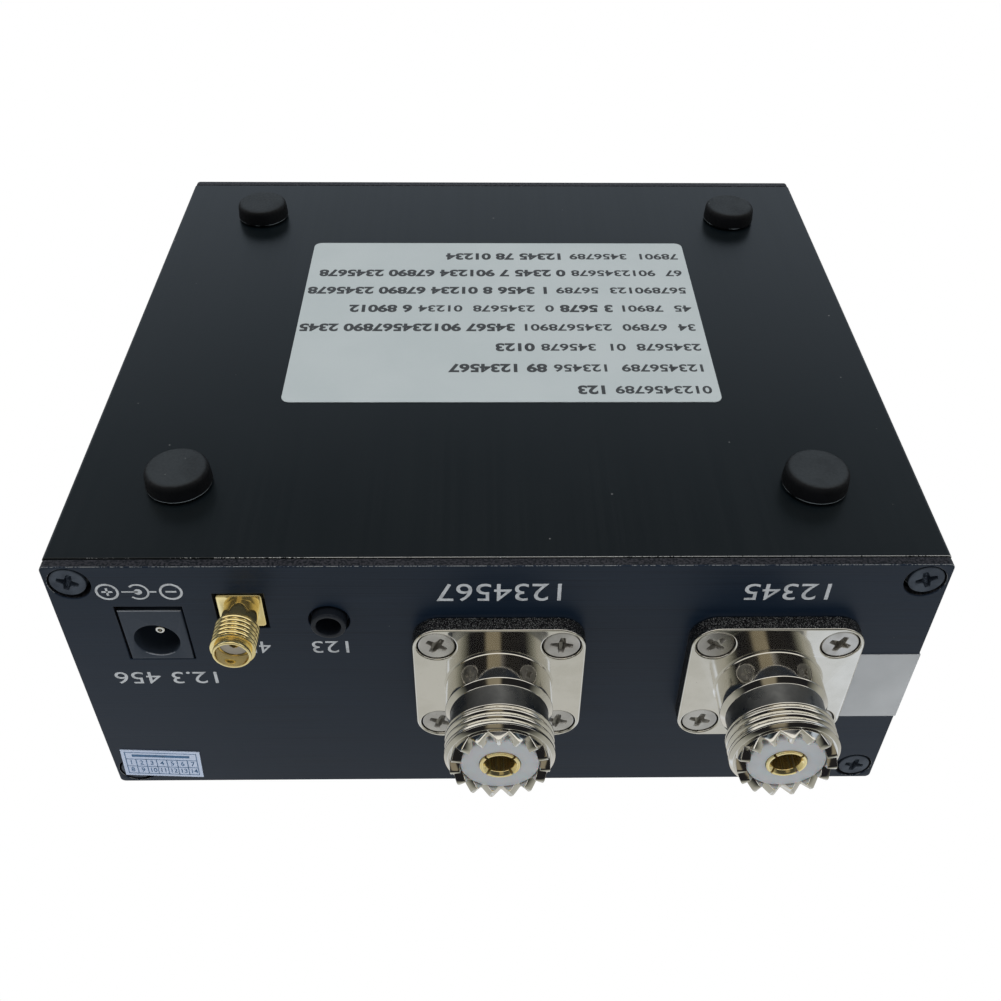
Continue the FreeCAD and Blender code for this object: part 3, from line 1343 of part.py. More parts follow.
def pin_outlines():
    """Outlines, seen from above, of everything that passes through the board."""
    outlines = []
    for x in RELAYS.values():
        outlines += relay_pins(x)
    x0 = jack_blade_x()
    for y in jack_blade_places():
        outlines.append((x0, x0 + JACK_BLADE_THICKNESS, y - PIN_WIDTH / 2, y + PIN_WIDTH / 2))
    x, y = inlet_blade_place()
    outlines.append((x, x + INLET_BLADE_THICKNESS, y - PIN_WIDTH / 2, y + PIN_WIDTH / 2))
    rear = REAR_FACE - INLET_LENGTH
    outlines.append((INLET_X - PIN_WIDTH / 2, INLET_X + PIN_WIDTH / 2, rear - PIN_THICKNESS, rear))
    for x in (POWER_LED_X, TRANSMIT_LED_X):
        for lead_x, lead_y in led_lead_places(x):
            half = LED_LEAD_SIZE / 2
            outlines.append((lead_x - half, lead_x + half, lead_y - half, lead_y + half))
    return outlines


# ---------------------------------------------------------------- front controls
def button_z():
    return BOARD_TOP + SWITCH_SIZE / 2


def switch_front():
    """The switch body's front face leaves room for the cap's full travel."""
    return FRONT_FACE - BUTTON_PROUD + BUTTON_CAP_LENGTH + BUTTON_TRAVEL + SWITCH_GAP


def power_switch():
    """The latching switch's case, with a square passage for the stem."""
    front = switch_front()
    half = SWITCH_SIZE / 2
    back = front + SWITCH_LENGTH
    case = block(BUTTON_X - half, BUTTON_X + half, front, back, BOARD_TOP, BOARD_TOP + SWITCH_SIZE)
    hole = STEM_SIZE / 2 + STEM_CLEARANCE
    depth = STEM_IN_SWITCH + BUTTON_TRAVEL + SWITCH_GAP
    z = button_z()
    return case.cut(block(BUTTON_X - hole, BUTTON_X + hole, front - 1, front + depth, z - hole, z + hole))


def button_cap():
    front = FRONT_FACE - BUTTON_PROUD
    cap = along_y(BUTTON_RADIUS, BUTTON_X, button_z(), front, front + BUTTON_CAP_LENGTH)
    cap = cap.makeFillet(BUTTON_EDGE, round_edges_at(cap, front))
    hole = STEM_SIZE / 2 + STEM_CLEARANCE
    back = front + BUTTON_CAP_LENGTH
    z = button_z()
    return cap.cut(block(BUTTON_X - hole, BUTTON_X + hole, back - STEM_IN_CAP, back + 1, z - hole, z + hole))


def button_stem():
    front = FRONT_FACE - BUTTON_PROUD + BUTTON_CAP_LENGTH - STEM_IN_CAP
    back = switch_front() + STEM_IN_SWITCH
    half = STEM_SIZE / 2
    z = button_z()
    return block(BUTTON_X - half, BUTTON_X + half, front, back, z - half, z + half)


def led_z():
    return BOARD_TOP + LED_AXIS_ABOVE_BOARD


def led_rim_front():
    return SHELL_FRONT + BOARD_END_CLEARANCE


def led(x):
    """A round lamp lying along Y: a domed body through the panel and a wider rim behind it."""
    front = FRONT_FACE - LED_PROUD
    rim_front = led_rim_front()
    body = along_y(LED_RADIUS, x, led_z(), front + LED_RADIUS, rim_front)
    dome = Part.makeSphere(LED_RADIUS, Vector(x, front + LED_RADIUS, led_z()))
    rim = along_y(LED_RIM_RADIUS, x, led_z(), rim_front, rim_front + LED_RIM_THICKNESS)
    return joined([body, dome, rim])


def led_lead_places(x):
    y = led_rim_front() + LED_RIM_THICKNESS + LED_LEAD_RUN
    return [(x + side * LED_LEAD_SPACING / 2, y) for side in (-1, 1)]


def led_leads():
    """Bent leads: straight back from each lamp, then down through the board."""
    solids = []
    half = LED_LEAD_SIZE / 2
    for x in (POWER_LED_X, TRANSMIT_LED_X):
        for lead_x, lead_y in led_lead_places(x):
            start = led_rim_front() + LED_RIM_THICKNESS
            top = led_z() + half
            run = block(lead_x - half, lead_x + half, start, lead_y + half, led_z() - half, top)
            drop = post(lead_x, lead_y, half, half, BOARD_UNDERSIDE - PIN_TAIL, top)
            solids.append(joined([run, drop]))
    return Part.makeCompound(solids)


# ---------------------------------------------------------------- all pieces
def all_nodes():
    """Every piece by its name."""
    nodes = {
        "bottom_shell": bottom_shell(),
        "top_shell": top_shell(),
        "rear_panel": rear_panel(),
        "front_panel": front_panel(),
        "rear_panel_screws": panel_screws(REAR_FACE, 1),
        "front_panel_screws": panel_screws(FRONT_FACE, -1),
        "spec_label": spec_label(),
        "date_label": date_label(),
        "seal_label": seal_label(),
        "receiver_socket_body": receiver_body(),
        "receiver_socket_insulator": receiver_insulator(),
        "receiver_socket_contact": receiver_contact(),
        "keying_jack_body": jack_body(),
        "keying_jack_contacts": jack_contacts(),
        "supply_inlet_body": inlet_body(),
        "supply_inlet_contacts": Part.makeCompound([inlet_pin(), inlet_sleeve_blade()]),
        "circuit_board": circuit_board(),
        "capacitors": capacitors(),
        "regulator": regulator(),
        "comparator_chip": comparator_chip(),
        "driver_transistors": driver_transistors(),
        "passive_parts": passive_parts(),
        "power_switch": power_switch(),
        "power_button_cap": button_cap(),
        "power_button_stem": button_stem(),
        "power_led": led(POWER_LED_X),
        "transmit_led": led(TRANSMIT_LED_X),
        "led_leads": led_leads(),
    }
    for name, place in FEET.items():
        nodes[name] = foot(*place)
    for name, x in SOCKETS.items():
        nodes[name + "_socket_shell"] = socket_shell(x)
        nodes[name + "_socket_insulator"] = socket_insulator(x)
        nodes[name + "_socket_contact"] = socket_contact(x)
        nodes[name + "_socket_screws"] = socket_screws(x)
        nodes[name + "_socket_nuts"] = socket_nuts(x)
        nodes[name + "_solder_tag"] = solder_tag(x)
        nodes[name + "_feed_wire"] = feed_wire(x)
    for name, x in RELAYS.items():
        nodes[name + "_relay_base"] = relay_base(x)
        nodes[name + "_relay_cover"] = relay_cover(x)
        nodes[name + "_relay_bobbin"] = relay_bobbin(x)
        nodes[name + "_relay_winding"] = relay_winding(x)
        nodes[name + "_relay_yoke"] = relay_yoke(x)
        nodes[name + "_relay_armature"] = relay_armature(x)
        nodes[name + "_relay_contacts"] = relay_contacts(x)
    return nodes


def main():
    os.makedirs("parts", exist_ok=True)
    nodes = all_nodes()
    for name, shape in nodes.items():
        shape.exportStep(os.path.join("parts", name + ".step"))
        box = shape.BoundBox
        print(
            f"{name:28s} solids {len(shape.Solids)} volume {shape.Volume:10.2f}"
            f" x {box.XMin:7.2f} {box.XMax:7.2f} y {box.YMin:7.2f} {box.YMax:7.2f}"
            f" z {box.ZMin:6.2f} {box.ZMax:6.2f}"
        )
    print(len(nodes), "pieces")


main()
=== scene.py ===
# %% [markdown]
# # A changeover box for a radio bench
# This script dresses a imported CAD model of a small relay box: a black two-part extrusion with a
# brushed rear panel, two large coaxial sockets, a small gold one, a jack and a supply inlet.
# The CAD model fixes every size. The script adds turned threads, cut recesses, finishes and light.

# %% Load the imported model
import math

import bmesh
import bpy
import numpy as np
from mathutils import Matrix, Vector


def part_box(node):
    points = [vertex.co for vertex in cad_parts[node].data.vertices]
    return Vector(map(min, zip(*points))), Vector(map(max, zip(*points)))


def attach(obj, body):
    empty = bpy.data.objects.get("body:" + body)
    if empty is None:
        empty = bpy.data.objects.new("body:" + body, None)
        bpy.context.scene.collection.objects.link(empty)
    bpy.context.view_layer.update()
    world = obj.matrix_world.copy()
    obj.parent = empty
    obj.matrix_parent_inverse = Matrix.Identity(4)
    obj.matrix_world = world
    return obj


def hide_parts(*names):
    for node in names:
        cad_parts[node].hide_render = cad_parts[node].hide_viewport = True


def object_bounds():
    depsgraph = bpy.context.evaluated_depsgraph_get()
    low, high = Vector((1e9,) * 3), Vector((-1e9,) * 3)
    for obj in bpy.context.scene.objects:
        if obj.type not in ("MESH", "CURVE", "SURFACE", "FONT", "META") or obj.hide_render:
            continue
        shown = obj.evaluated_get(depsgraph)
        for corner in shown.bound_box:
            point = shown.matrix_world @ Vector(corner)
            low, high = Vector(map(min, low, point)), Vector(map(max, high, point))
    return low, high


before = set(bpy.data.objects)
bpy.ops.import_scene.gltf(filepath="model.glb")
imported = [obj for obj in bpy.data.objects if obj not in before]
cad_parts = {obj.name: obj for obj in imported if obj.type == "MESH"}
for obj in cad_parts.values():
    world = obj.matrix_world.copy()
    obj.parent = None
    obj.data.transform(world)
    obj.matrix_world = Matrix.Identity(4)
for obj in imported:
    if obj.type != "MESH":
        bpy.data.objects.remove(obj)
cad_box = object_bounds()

print("nodes loaded:", len(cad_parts))

# %% [markdown]
# ## Sizes
# Every length below is in millimetres, because that is how the parts are drawn. The box of a CAD
# node gives a place that the pieces share, so a new piece lands exactly on its neighbours.

# %% Sizes that several pieces share
MM = 0.001


def node_box(name):
    """Lowest and highest corner of a CAD node in millimetres."""
    low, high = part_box(name)
    return np.array(low) / MM, np.array(high) / MM


def middle(name):
    """Middle of a CAD node's box in millimetres."""
    low, high = node_box(name)
    return (low + high) / 2


SIDE, REAR_FACE, TOP = node_box("rear_panel")[1]
BOTTOM = node_box("rear_panel")[0][2]
FRONT_FACE = node_box("front_panel")[0][1]
SHELL_FRONT, SHELL_REAR = (corner[1] for corner in node_box("bottom_shell"))
SPLIT = (BOTTOM + TOP) / 2
BOARD_TOP = node_box("circuit_board")[1][2]
print("rear face at", round(REAR_FACE, 3), "and board top at", round(BOARD_TOP, 3))

# %% [markdown]
# ## Camera
# The box is stored standing on its feet. The camera stands behind it, below the level of the
# feet, and is rolled over, so that the picture shows the overturned box as it lies on a bench.
# A camera looks along its own -Z, so the matrix columns are right, up and backwards.

# %% Place the camera
CAMERA_LENS = 39.53
CAMERA_PLACE = Vector((-2.2824, 153.854, -104.129)) * MM
VIEW_DIRECTION = Vector((0.01596, -0.73753, 0.67512)).normalized()
VIEW_UP = Vector((0.00209, -0.67518, -0.73765))

right = VIEW_DIRECTION.cross(VIEW_UP).normalized()
turned_axes = Matrix((right, right.cross(VIEW_DIRECTION), -VIEW_DIRECTION)).transposed()
camera_data = bpy.data.cameras.new("bench_camera")
camera_data.lens = CAMERA_LENS
camera_data.sensor_width = 36.0
camera_data.clip_start = 0.01
camera = bpy.data.objects.new("bench_camera", camera_data)
bpy.context.collection.objects.link(camera)
camera.matrix_world = Matrix.Translation(CAMERA_PLACE) @ turned_axes.to_4x4()
bpy.context.scene.camera = camera
print("camera looks along", [round(v, 3) for v in VIEW_DIRECTION])

# %% [markdown]
# ## Node trees
# The room's light and every finish are trees of nodes. Wiring them by hand takes four lines a
# node, so these helpers add a node, feed it and hand back the socket that the next one needs.

# %% Helpers for node trees
def wire(tree, node_type, sources=(), **settings):
    """Adds a node, sets its options, and feeds its inputs. A source is (input, value or socket)."""
    node = tree.nodes.new(node_type)
    for key, value in settings.items():
        setattr(node, key, value)
    for key, source in sources:
        if isinstance(source, bpy.types.NodeSocket):
            tree.links.new(source, node.inputs[key])
        else:
            node.inputs[key].default_value = source
    return node


def maths(tree, operation, *sources):
    """One Math node's result."""
    return wire(tree, "ShaderNodeMath", enumerate(sources), operation=operation).outputs[0]


def remapped(tree, value, low, high, to_low=0.0, to_high=1.0):
    """A value's range from low to high, carried smoothly to a new range and kept inside it."""
    sources = [("Value", value), ("From Min", low), ("From Max", high)]
    sources += [("To Min", to_low), ("To Max", to_high)]
    node = wire(tree, "ShaderNodeMapRange", sources, interpolation_type="SMOOTHSTEP")
    return node.outputs["Result"]


def blended(tree, mask, first, second):
    """A colour that goes from the first to the second as the mask rises. Each may be a socket."""
    sources = [(0, mask)]
    for key, source in ((6, first), (7, second)):
        sources.append((key, (*source, 1.0) if isinstance(source, tuple) else source))
    return wire(tree, "ShaderNodeMix", sources, data_type="RGBA").outputs[2]


def parted(tree, vector):
    """The three shares of a vector."""
    return wire(tree, "ShaderNodeSeparateXYZ", [("Vector", vector)]).outputs


def noise(tree, vector, scale, detail):
    """A Noise Texture's value."""
    sources = [("Vector", vector), ("Scale", scale), ("Detail", detail)]
    return wire(tree, "ShaderNodeTexNoise", sources).outputs["Fac"]


def ramp_colour(tree, source, stops):
    """The colour of a ramp with stops of (place, colour)."""
    ramp = wire(tree, "ShaderNodeValToRGB", [("Fac", source)])
    elements = ramp.color_ramp.elements
    while len(elements) < len(stops):
        elements.new(0.5)
    for element, (place, colour) in zip(elements, stops):
        element.position = place
        element.color = (*colour, 1.0)
    return ramp.outputs["Color"]


# %% [markdown]
# ## Light
# A white bench reflects in every plated surface, so the world is bright above and below the
# horizon and darker around it: nickel needs something dark to reflect or it looks like paper.
# The camera itself sees plain white, which the Light Path node separates from the reflections.
# A brown patch, a glow at both sides and a strip of bench are laid over the two ramps.

# %% Build the world
AHEAD_STOPS = (
    (0.000, (0.95, 0.93, 0.88)), (0.055, (0.82, 0.80, 0.76)), (0.085, (0.16, 0.16, 0.16)),
    (0.110, (0.020, 0.023, 0.026)), (0.160, (0.014, 0.020, 0.024)), (0.185, (0.070, 0.095, 0.105)),
    (0.230, (0.33, 0.39, 0.455)), (0.290, (0.57, 0.645, 0.74)), (0.420, (0.38, 0.43, 0.48)),
    (0.500, (0.12, 0.12, 0.13)), (0.600, (0.30, 0.30, 0.29)), (1.000, (0.66, 0.65, 0.62)),
)
BEHIND_STOPS = (
    (0.000, (0.95, 0.93, 0.88)), (0.050, (0.85, 0.83, 0.77)), (0.072, (0.16, 0.15, 0.14)),
    (0.092, (0.018, 0.017, 0.016)), (0.370, (0.012, 0.012, 0.014)), (0.420, (0.075, 0.075, 0.063)),
    (0.500, (0.215, 0.215, 0.180)), (0.600, (0.380, 0.375, 0.330)), (0.850, (0.465, 0.468, 0.435)),
    (1.000, (0.62, 0.61, 0.58)),
)
# Each pair holds the two ends of a range over which a patch fades in.
BROWN_PATCH, PATCH_MIDDLE = (0.245, 0.213, 0.150), -0.145
PATCH_WIDTH, PATCH_HEIGHT = (0.26, 0.135), (-0.40, -0.56)
SIDE_GLOW = (0.76, 0.81, 0.88)
GLOW_NEAR, GLOW_FAR, GLOW_HEIGHT = (0.14, 0.42), (0.52, 0.42), (0.58, 0.66)
BENCH_STRIP = (0.92, 0.90, 0.84)
STRIP_WIDTH, STRIP_HEIGHT = (0.45, 0.28), (-0.22, -0.45)
HALVES_MEET = (-0.15, 0.15)
SIDEWAYS_LEAN = 0.02

world = bpy.data.worlds.new("studio")
world.use_nodes = True
bpy.context.scene.world = world
tree = world.node_tree
tree.nodes.clear()


def where(*ranges):
    """Product of several values, each carried from its own range to 0 to 1."""
    masks = [remapped(tree, value, *limits) for value, limits in ranges]
    while len(masks) > 1:
        masks = [maths(tree, "MULTIPLY", masks[0], masks[1]), *masks[2:]]
    return masks[0]


along_x, along_y, along_z = parted(tree, wire(tree, "ShaderNodeTexCoord").outputs["Generated"])
off_x, off_y = maths(tree, "ABSOLUTE", along_x), maths(tree, "ABSOLUTE", along_y)
off_patch = maths(tree, "ABSOLUTE", maths(tree, "SUBTRACT", along_x, PATCH_MIDDLE))
span = [("Value", along_z), ("From Min", -1.0)]
height = wire(tree, "ShaderNodeMapRange", span).outputs["Result"]
leaning = maths(tree, "MULTIPLY_ADD", along_x, SIDEWAYS_LEAN, height)
ahead, behind = ramp_colour(tree, height, AHEAD_STOPS), ramp_colour(tree, leaning, BEHIND_STOPS)
patch = where((off_patch, PATCH_WIDTH), (along_z, PATCH_HEIGHT))
behind = blended(tree, patch, behind, BROWN_PATCH)
glow = where((off_x, GLOW_NEAR), (off_x, GLOW_FAR), (along_z, GLOW_HEIGHT))
behind = blended(tree, glow, behind, SIDE_GLOW)
around = blended(tree, where((along_y, HALVES_MEET)), ahead, behind)
around = blended(tree, where((off_y, STRIP_WIDTH), (along_z, STRIP_HEIGHT)), around, BENCH_STRIP)
room = wire(tree, "ShaderNodeBackground", [("Color", around)]).outputs[0]
plain = wire(tree, "ShaderNodeBackground", [("Color", (1.0, 1.0, 1.0, 1.0))]).outputs[0]
seen = wire(tree, "ShaderNodeLightPath").outputs["Is Camera Ray"]
chosen = wire(tree, "ShaderNodeMixShader", [("Fac", seen), (1, room), (2, plain)]).outputs[0]
wire(tree, "ShaderNodeOutputWorld", [("Surface", chosen)])
bpy.context.scene.view_settings.view_transform = "Standard"
print("world nodes:", len(tree.nodes))

# %% [markdown]
# ## Lamps
# Large area lamps give the soft edge highlights of a product picture. Two hang above the box and
# two beside it for the upright views, and two stand behind and below for the overturned one.

# %% Hang the lamps
WARM, COOL = (1.0, 0.97, 0.92), (0.90, 0.95, 1.0)
LAMPS = (
    ("lamp_over_left", (-0.45, -0.30, 0.60), 0.50, 4.0, WARM),
    ("lamp_over_right", (0.55, -0.05, 0.55), 0.35, 2.5, WARM),
    ("lamp_rear", (0.05, 1.10, -0.15), 0.40, 6.0, COOL),
    ("lamp_left", (-0.88, 0.36, 0.30), 0.20, 1.5, COOL),
    ("lamp_right", (0.88, 0.36, 0.30), 0.20, 1.5, COOL),
    ("lamp_under", (0.00, 0.02, -0.85), 0.45, 3.9, COOL),
)
box_middle = (cad_box[0] + cad_box[1]) / 2
for name, place, size, watts, tint in LAMPS:
    lamp = bpy.data.lights.new(name, "AREA")
    lamp.shape, lamp.size, lamp.energy, lamp.color = "SQUARE", size, watts, tint
    lamp_object = bpy.data.objects.new(name, lamp)
    lamp_object.visible_glossy = False
    bpy.context.collection.objects.link(lamp_object)
    aim = (box_middle - Vector(place)).to_track_quat("-Z", "Y")
    lamp_object.matrix_world = Matrix.Translation(place) @ aim.to_matrix().to_4x4()
print("lamps:", len(LAMPS))

# %% [markdown]
# ## Points into pieces
# A piece is a grid of points. Rows run along a profile and columns run round or along a path.
# These helpers join the grid into four-cornered faces and make a mesh of them. Merging doubled
# points closes seams and poles, and the normals are then worked out on the closed shape.

# %% Helpers that make meshes
def grid_faces(rows, columns, wrap_rows=False, wrap_columns=True):
    """Faces between neighbouring points of a grid, where point (i, j) has number i * columns + j.
    A wrapped direction joins its last line to its first."""
    i = np.arange(rows if wrap_rows else rows - 1)[:, None]
    j = np.arange(columns if wrap_columns else columns - 1)[None, :]
    here, below = i * columns, (i + 1) % rows * columns
    beside = (j + 1) % columns
    corners = [here + j, here + beside, below + beside, below + j]
    return np.stack(corners, axis=-1).reshape(-1, 4).tolist()


def gather(parts):
    """Several (points, faces) pairs as one pair, with the later faces' numbers moved up."""
    points, faces, used = [], [], 0
    for part_points, part_faces in parts:
        points.append(np.asarray(part_points, float).reshape(-1, 3))
        faces += [[number + used for number in face] for face in part_faces]
        used += len(points[-1])
    return np.concatenate(points), faces


LOOKS = {}
made = []


def add_piece(name, parts, look, stands_for=(), body="enclosure", crease=35.0):
    """Makes one object of (points, faces) pairs given in millimetres. Edges that fold more than
    crease degrees stay sharp."""
    points, faces = gather(parts)
    mesh = bpy.data.meshes.new(name)
    mesh.from_pydata((points * MM).tolist(), [], faces)
    work = bmesh.new()
    work.from_mesh(mesh)
    bmesh.ops.remove_doubles(work, verts=work.verts, dist=2e-7)
    bmesh.ops.recalc_face_normals(work, faces=work.faces)
    work.to_mesh(mesh)
    work.free()
    mesh.shade_smooth()
    mesh.set_sharp_from_angle(angle=math.radians(crease))
    mesh.materials.append(LOOKS[look])
    piece = bpy.data.objects.new(name, mesh)
    bpy.context.collection.objects.link(piece)
    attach(piece, body)
    if stands_for:
        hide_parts(*stands_for)
    made.append((name, len(mesh.polygons)))
    return piece


def weigh_normals(piece):
    """Lets the large flat faces decide the shading, so that only the round edges look round."""
    for edge in piece.data.edges:
        edge.use_edge_sharp = False
    piece.modifiers.new("flat_faces_rule", "WEIGHTED_NORMAL").weight = 100


def face_values(piece, key):
    """One vector of each face of a piece, such as its centre or its normal."""
    values = np.empty(3 * len(piece.data.polygons))
    piece.data.polygons.foreach_get(key, values)
    return values.reshape(-1, 3)


def second_look(piece, chosen, look):
    """Gives the chosen faces of a piece another finish."""
    piece.data.materials.append(LOOKS[look])
    piece.data.polygons.foreach_set("material_index", chosen.astype(np.int32))


# %% [markdown]
# ## Round and flat shapes
# Nearly every piece is either turned on a lathe or cut from a plate. A lathe part is a profile
# carried round a line. A plate is a filled flat curve, because the curve also rounds its edges.

# %% Helpers for turned parts and plates
def full_turn(count):
    """Angles of a full turn, without the last that meets the first."""
    return 2 * np.pi * np.arange(count) / count


def eased(profile, ease, steps=4):
    """Rounds the corners of a closed profile. A corner P between neighbours A and B becomes
    P + d (1 - s)^2 (A - P) / |A - P| + d s^2 (B - P) / |B - P| with s from 0 to 1, where d is the
    wanted ease, or a little under half the shorter side."""
    p = np.asarray(profile, float)
    a, b = np.roll(p, 1, axis=0) - p, np.roll(p, -1, axis=0) - p
    length_a = np.linalg.norm(a, axis=1, keepdims=True)
    length_b = np.linalg.norm(b, axis=1, keepdims=True)
    wanted = np.broadcast_to(np.asarray(ease, float).reshape(-1, 1), (len(p), 1))
    d = np.minimum(wanted, 0.45 * np.minimum(length_a, length_b))[:, None]
    s = np.linspace(0, 1, steps)[None, :, None]
    towards_a, towards_b = (a / length_a)[:, None], (b / length_b)[:, None]
    curve = p[:, None] + d * ((1 - s) ** 2 * towards_a + s**2 * towards_b)
    return curve.reshape(-1, 2)


def round_points(x, y, z, radius, out, a):
    """Points (x + r cos a, y + out, z + r sin a) round a line along Y through (x, z)."""
    return np.stack([x + radius * np.cos(a), y + out + 0 * a, z + radius * np.sin(a)], axis=-1)


def turned(profile, sides, x, z, y, outward=1):
    """Carries a profile of (radius, distance out) round a line along Y. A profile that begins and
    ends on the line has two poles, and any other one closes on itself."""
    radius, out = np.asarray(profile, float).T[:, :, None]
    has_poles = radius[0, 0] == 0 and radius[-1, 0] == 0
    points = round_points(x, y, z, radius, outward * out, full_turn(sides))
    return points, grid_faces(len(radius), sides, wrap_rows=not has_poles)


def ring(radius, count=48, x=0.0, z=0.0):
    """Points of a circle as (x, z) pairs."""
    return round_points(x, 0, z, radius, 0, full_turn(count))[:, [0, 2]]


def box_loop(x, z, width, height):
    """A rectangle's four corners round a middle."""
    return np.array([(-1, -1), (1, -1), (1, 1), (-1, 1)]) * (width / 2, height / 2) + (x, z)


def rounded_rectangle(x0, x1, z0, z1, radius, steps=7):
    """Points of a rectangle whose corners are quarter circles, as (x, z) pairs."""
    turns = (np.linspace(0, np.pi / 2, steps) + np.pi / 2 * np.arange(4)[:, None]).reshape(-1)
    x_centres = np.repeat([x1 - radius, x0 + radius, x0 + radius, x1 - radius], steps)
    z_centres = np.repeat([z1 - radius, z1 - radius, z0 + radius, z0 + radius], steps)
    return np.column_stack([x_centres + radius * np.cos(turns), z_centres + radius * np.sin(turns)])


def rounded_square(x, z, side, radius, steps=7):
    """A square with round corners about a middle."""
    half = side / 2
    return rounded_rectangle(x - half, x + half, z - half, z + half, radius, steps)


def curve_parts(curve):
    """The mesh of a flat curve or of type, as points and faces."""
    holder = bpy.data.objects.new("flat_shape", curve)
    mesh = bpy.data.meshes.new_from_object(holder)
    flat = np.empty(3 * len(mesh.vertices))
    mesh.vertices.foreach_get("co", flat)
    faces = [list(face.vertices) for face in mesh.polygons]
    bpy.data.objects.remove(holder)
    bpy.data.curves.remove(curve)
    bpy.data.meshes.remove(mesh)
    return flat.reshape(-1, 3), faces


def plate_part(loops, thickness, edge, place):
    """A plate cut from closed loops of (u, v) points: the first is its outline and the others are
    holes. A filled flat curve gives it its thickness and a round edge. The edge grows to the right
    of each loop's direction, so the outline runs anticlockwise and a hole clockwise, told apart by
    the sign of half the sum of u v' - v u'. place(u, v, w) turns its directions into x, y and z."""
    curve = bpy.data.curves.new("plate", "CURVE")
    curve.dimensions = "2D"
    curve.fill_mode = "BOTH"
    curve.extrude = thickness / 2 - edge
    curve.bevel_depth = edge
    curve.bevel_resolution = 2
    curve.offset = -edge
    for index, loop in enumerate(loops):
        loop = np.asarray(loop, float)
        u, v = loop.T
        area = np.sum(u * np.roll(v, -1) - v * np.roll(u, -1)) / 2
        if (area > 0) != (index == 0):
            loop = loop[::-1]
        spline = curve.splines.new("POLY")
        spline.points.add(len(loop) - 1)
        flat = np.column_stack([loop, np.zeros(len(loop)), np.ones(len(loop))])
        spline.points.foreach_set("co", flat.astype(np.float32).ravel())
        spline.use_cyclic_u = True
    points, faces = curve_parts(curve)
    return np.stack(place(*points.T), axis=-1), faces


def upright_plate(loops, y_low, y_high, edge):
    """A plate cut from (x, z) loops, whose thickness lies between two y values."""
    centre = (y_low + y_high) / 2
    return plate_part(loops, y_high - y_low, edge, lambda u, v, w: (u, centre + w, v))


def block_part(x0, x1, y0, y1, z0, z1):
    """A box between two corners as eight points and six faces."""
    x, y, z = np.meshgrid([x0, x1], [y0, y1], [z0, z1], indexing="ij")
    faces = [[0, 1, 3, 2], [4, 6, 7, 5], [0, 4, 5, 1], [2, 3, 7, 6], [0, 2, 6, 4], [1, 5, 7, 3]]
    return np.stack([x, y, z], axis=-1).reshape(-1, 3), faces

# %% [markdown]
# ## Effects that several finishes share
# Grain, brushed lines, dust and bare edge lines with a painted highlight turn up on more than one
# material, so each is a node group with its own named sockets. A group only gives out masks and
# heights that change over the surface. The shader itself stays in the material.

# %% Grain, brushed lines, dust and bare edge lines with painted highlights
def stretched(tree, vector, scale):
    """A vector with each direction multiplied, which stretches a pattern."""
    return wire(tree, "ShaderNodeMapping", [("Vector", vector), ("Scale", scale)]).outputs["Vector"]


def shader_group(name, values, build):
    """A node group with a Place vector and named numbers as inputs. build(tree, given) adds the
    nodes and returns the named results."""
    tree = bpy.data.node_groups.new(name, "ShaderNodeTree")
    tree.interface.new_socket("Place", in_out="INPUT", socket_type="NodeSocketVector")
    for key, value in values.items():
        socket = tree.interface.new_socket(key, in_out="INPUT", socket_type="NodeSocketFloat")
        socket.default_value = value
    results = build(tree, tree.nodes.new("NodeGroupInput").outputs)
    for key in results:
        tree.interface.new_socket(key, in_out="OUTPUT", socket_type="NodeSocketFloat")
    wire(tree, "NodeGroupOutput", results.items())
    return tree


def grain_nodes(tree, given):
    """Noise at a fine and at a coarse size: the skin of an anodised or moulded part."""
    fine = noise(tree, given["Place"], given["Size"], 3.0)
    return {"Grain": fine, "Mottle": noise(tree, given["Place"], given["Mottle"], 4.0)}


def brushed_nodes(tree, given):
    """Noise pulled out along X and squeezed along Z: long fine scratches from a belt."""
    fine = stretched(tree, given["Place"], (45.0, 45.0, 6500.0))
    broad = stretched(tree, given["Place"], (20.0, 20.0, 1400.0))
    lines = noise(tree, fine, given["Fineness"], 4.0)
    return {"Lines": lines, "Bands": noise(tree, broad, given["Fineness"], 3.0)}


def dust_nodes(tree, given):
    """A speck sits in some cells of a cell pattern: near the cell's point and where the cell's own
    random number is high enough. Slow noise gathers the specks in patches."""
    sources = [("Vector", given["Place"]), ("Scale", given["Cells"])]
    cells = wire(tree, "ShaderNodeTexVoronoi", sources).outputs
    chance = wire(tree, "ShaderNodeSeparateColor", [("Color", cells["Color"])]).outputs
    size = maths(tree, "MULTIPLY", given["Speck"], chance["Green"])
    near = maths(tree, "LESS_THAN", cells["Distance"], size)
    patches = maths(tree, "MULTIPLY", noise(tree, given["Place"], 55.0, 2.0), 2.0)
    bar = maths(tree, "SUBTRACT", 1.0, maths(tree, "MULTIPLY", given["Share"], patches))
    chosen = maths(tree, "GREATER_THAN", chance["Red"], bar)
    return {"Specks": maths(tree, "MULTIPLY", near, chosen)}


def wear_highlight_nodes(tree, given):
    """A thin line round the box at a given distance along Y, broken up by noise, where the black
    skin is scraped off the cut edge and the pale bare metal also serves as a painted highlight.
    Fade thins it out towards -X."""
    sides = parted(tree, given["Place"])
    away = maths(tree, "ABSOLUTE", maths(tree, "SUBTRACT", sides["Y"], given["At"]))
    line = maths(tree, "LESS_THAN", away, given["Width"])
    thinning = maths(tree, "MULTIPLY", given["Fade"], remapped(tree, sides["X"], -0.02, -0.055))
    dots = maths(tree, "MULTIPLY", noise(tree, given["Place"], 4200.0, 2.0), 0.55)
    rub_glint_noise = maths(tree, "MULTIPLY_ADD", noise(tree, given["Place"], 260.0, 3.0), 0.45, dots)
    bar = maths(tree, "ADD", given["Broken"], thinning)
    patch = remapped(tree, rub_glint_noise, bar, maths(tree, "ADD", bar, 0.08))
    return {"Worn": maths(tree, "MULTIPLY", line, patch)}
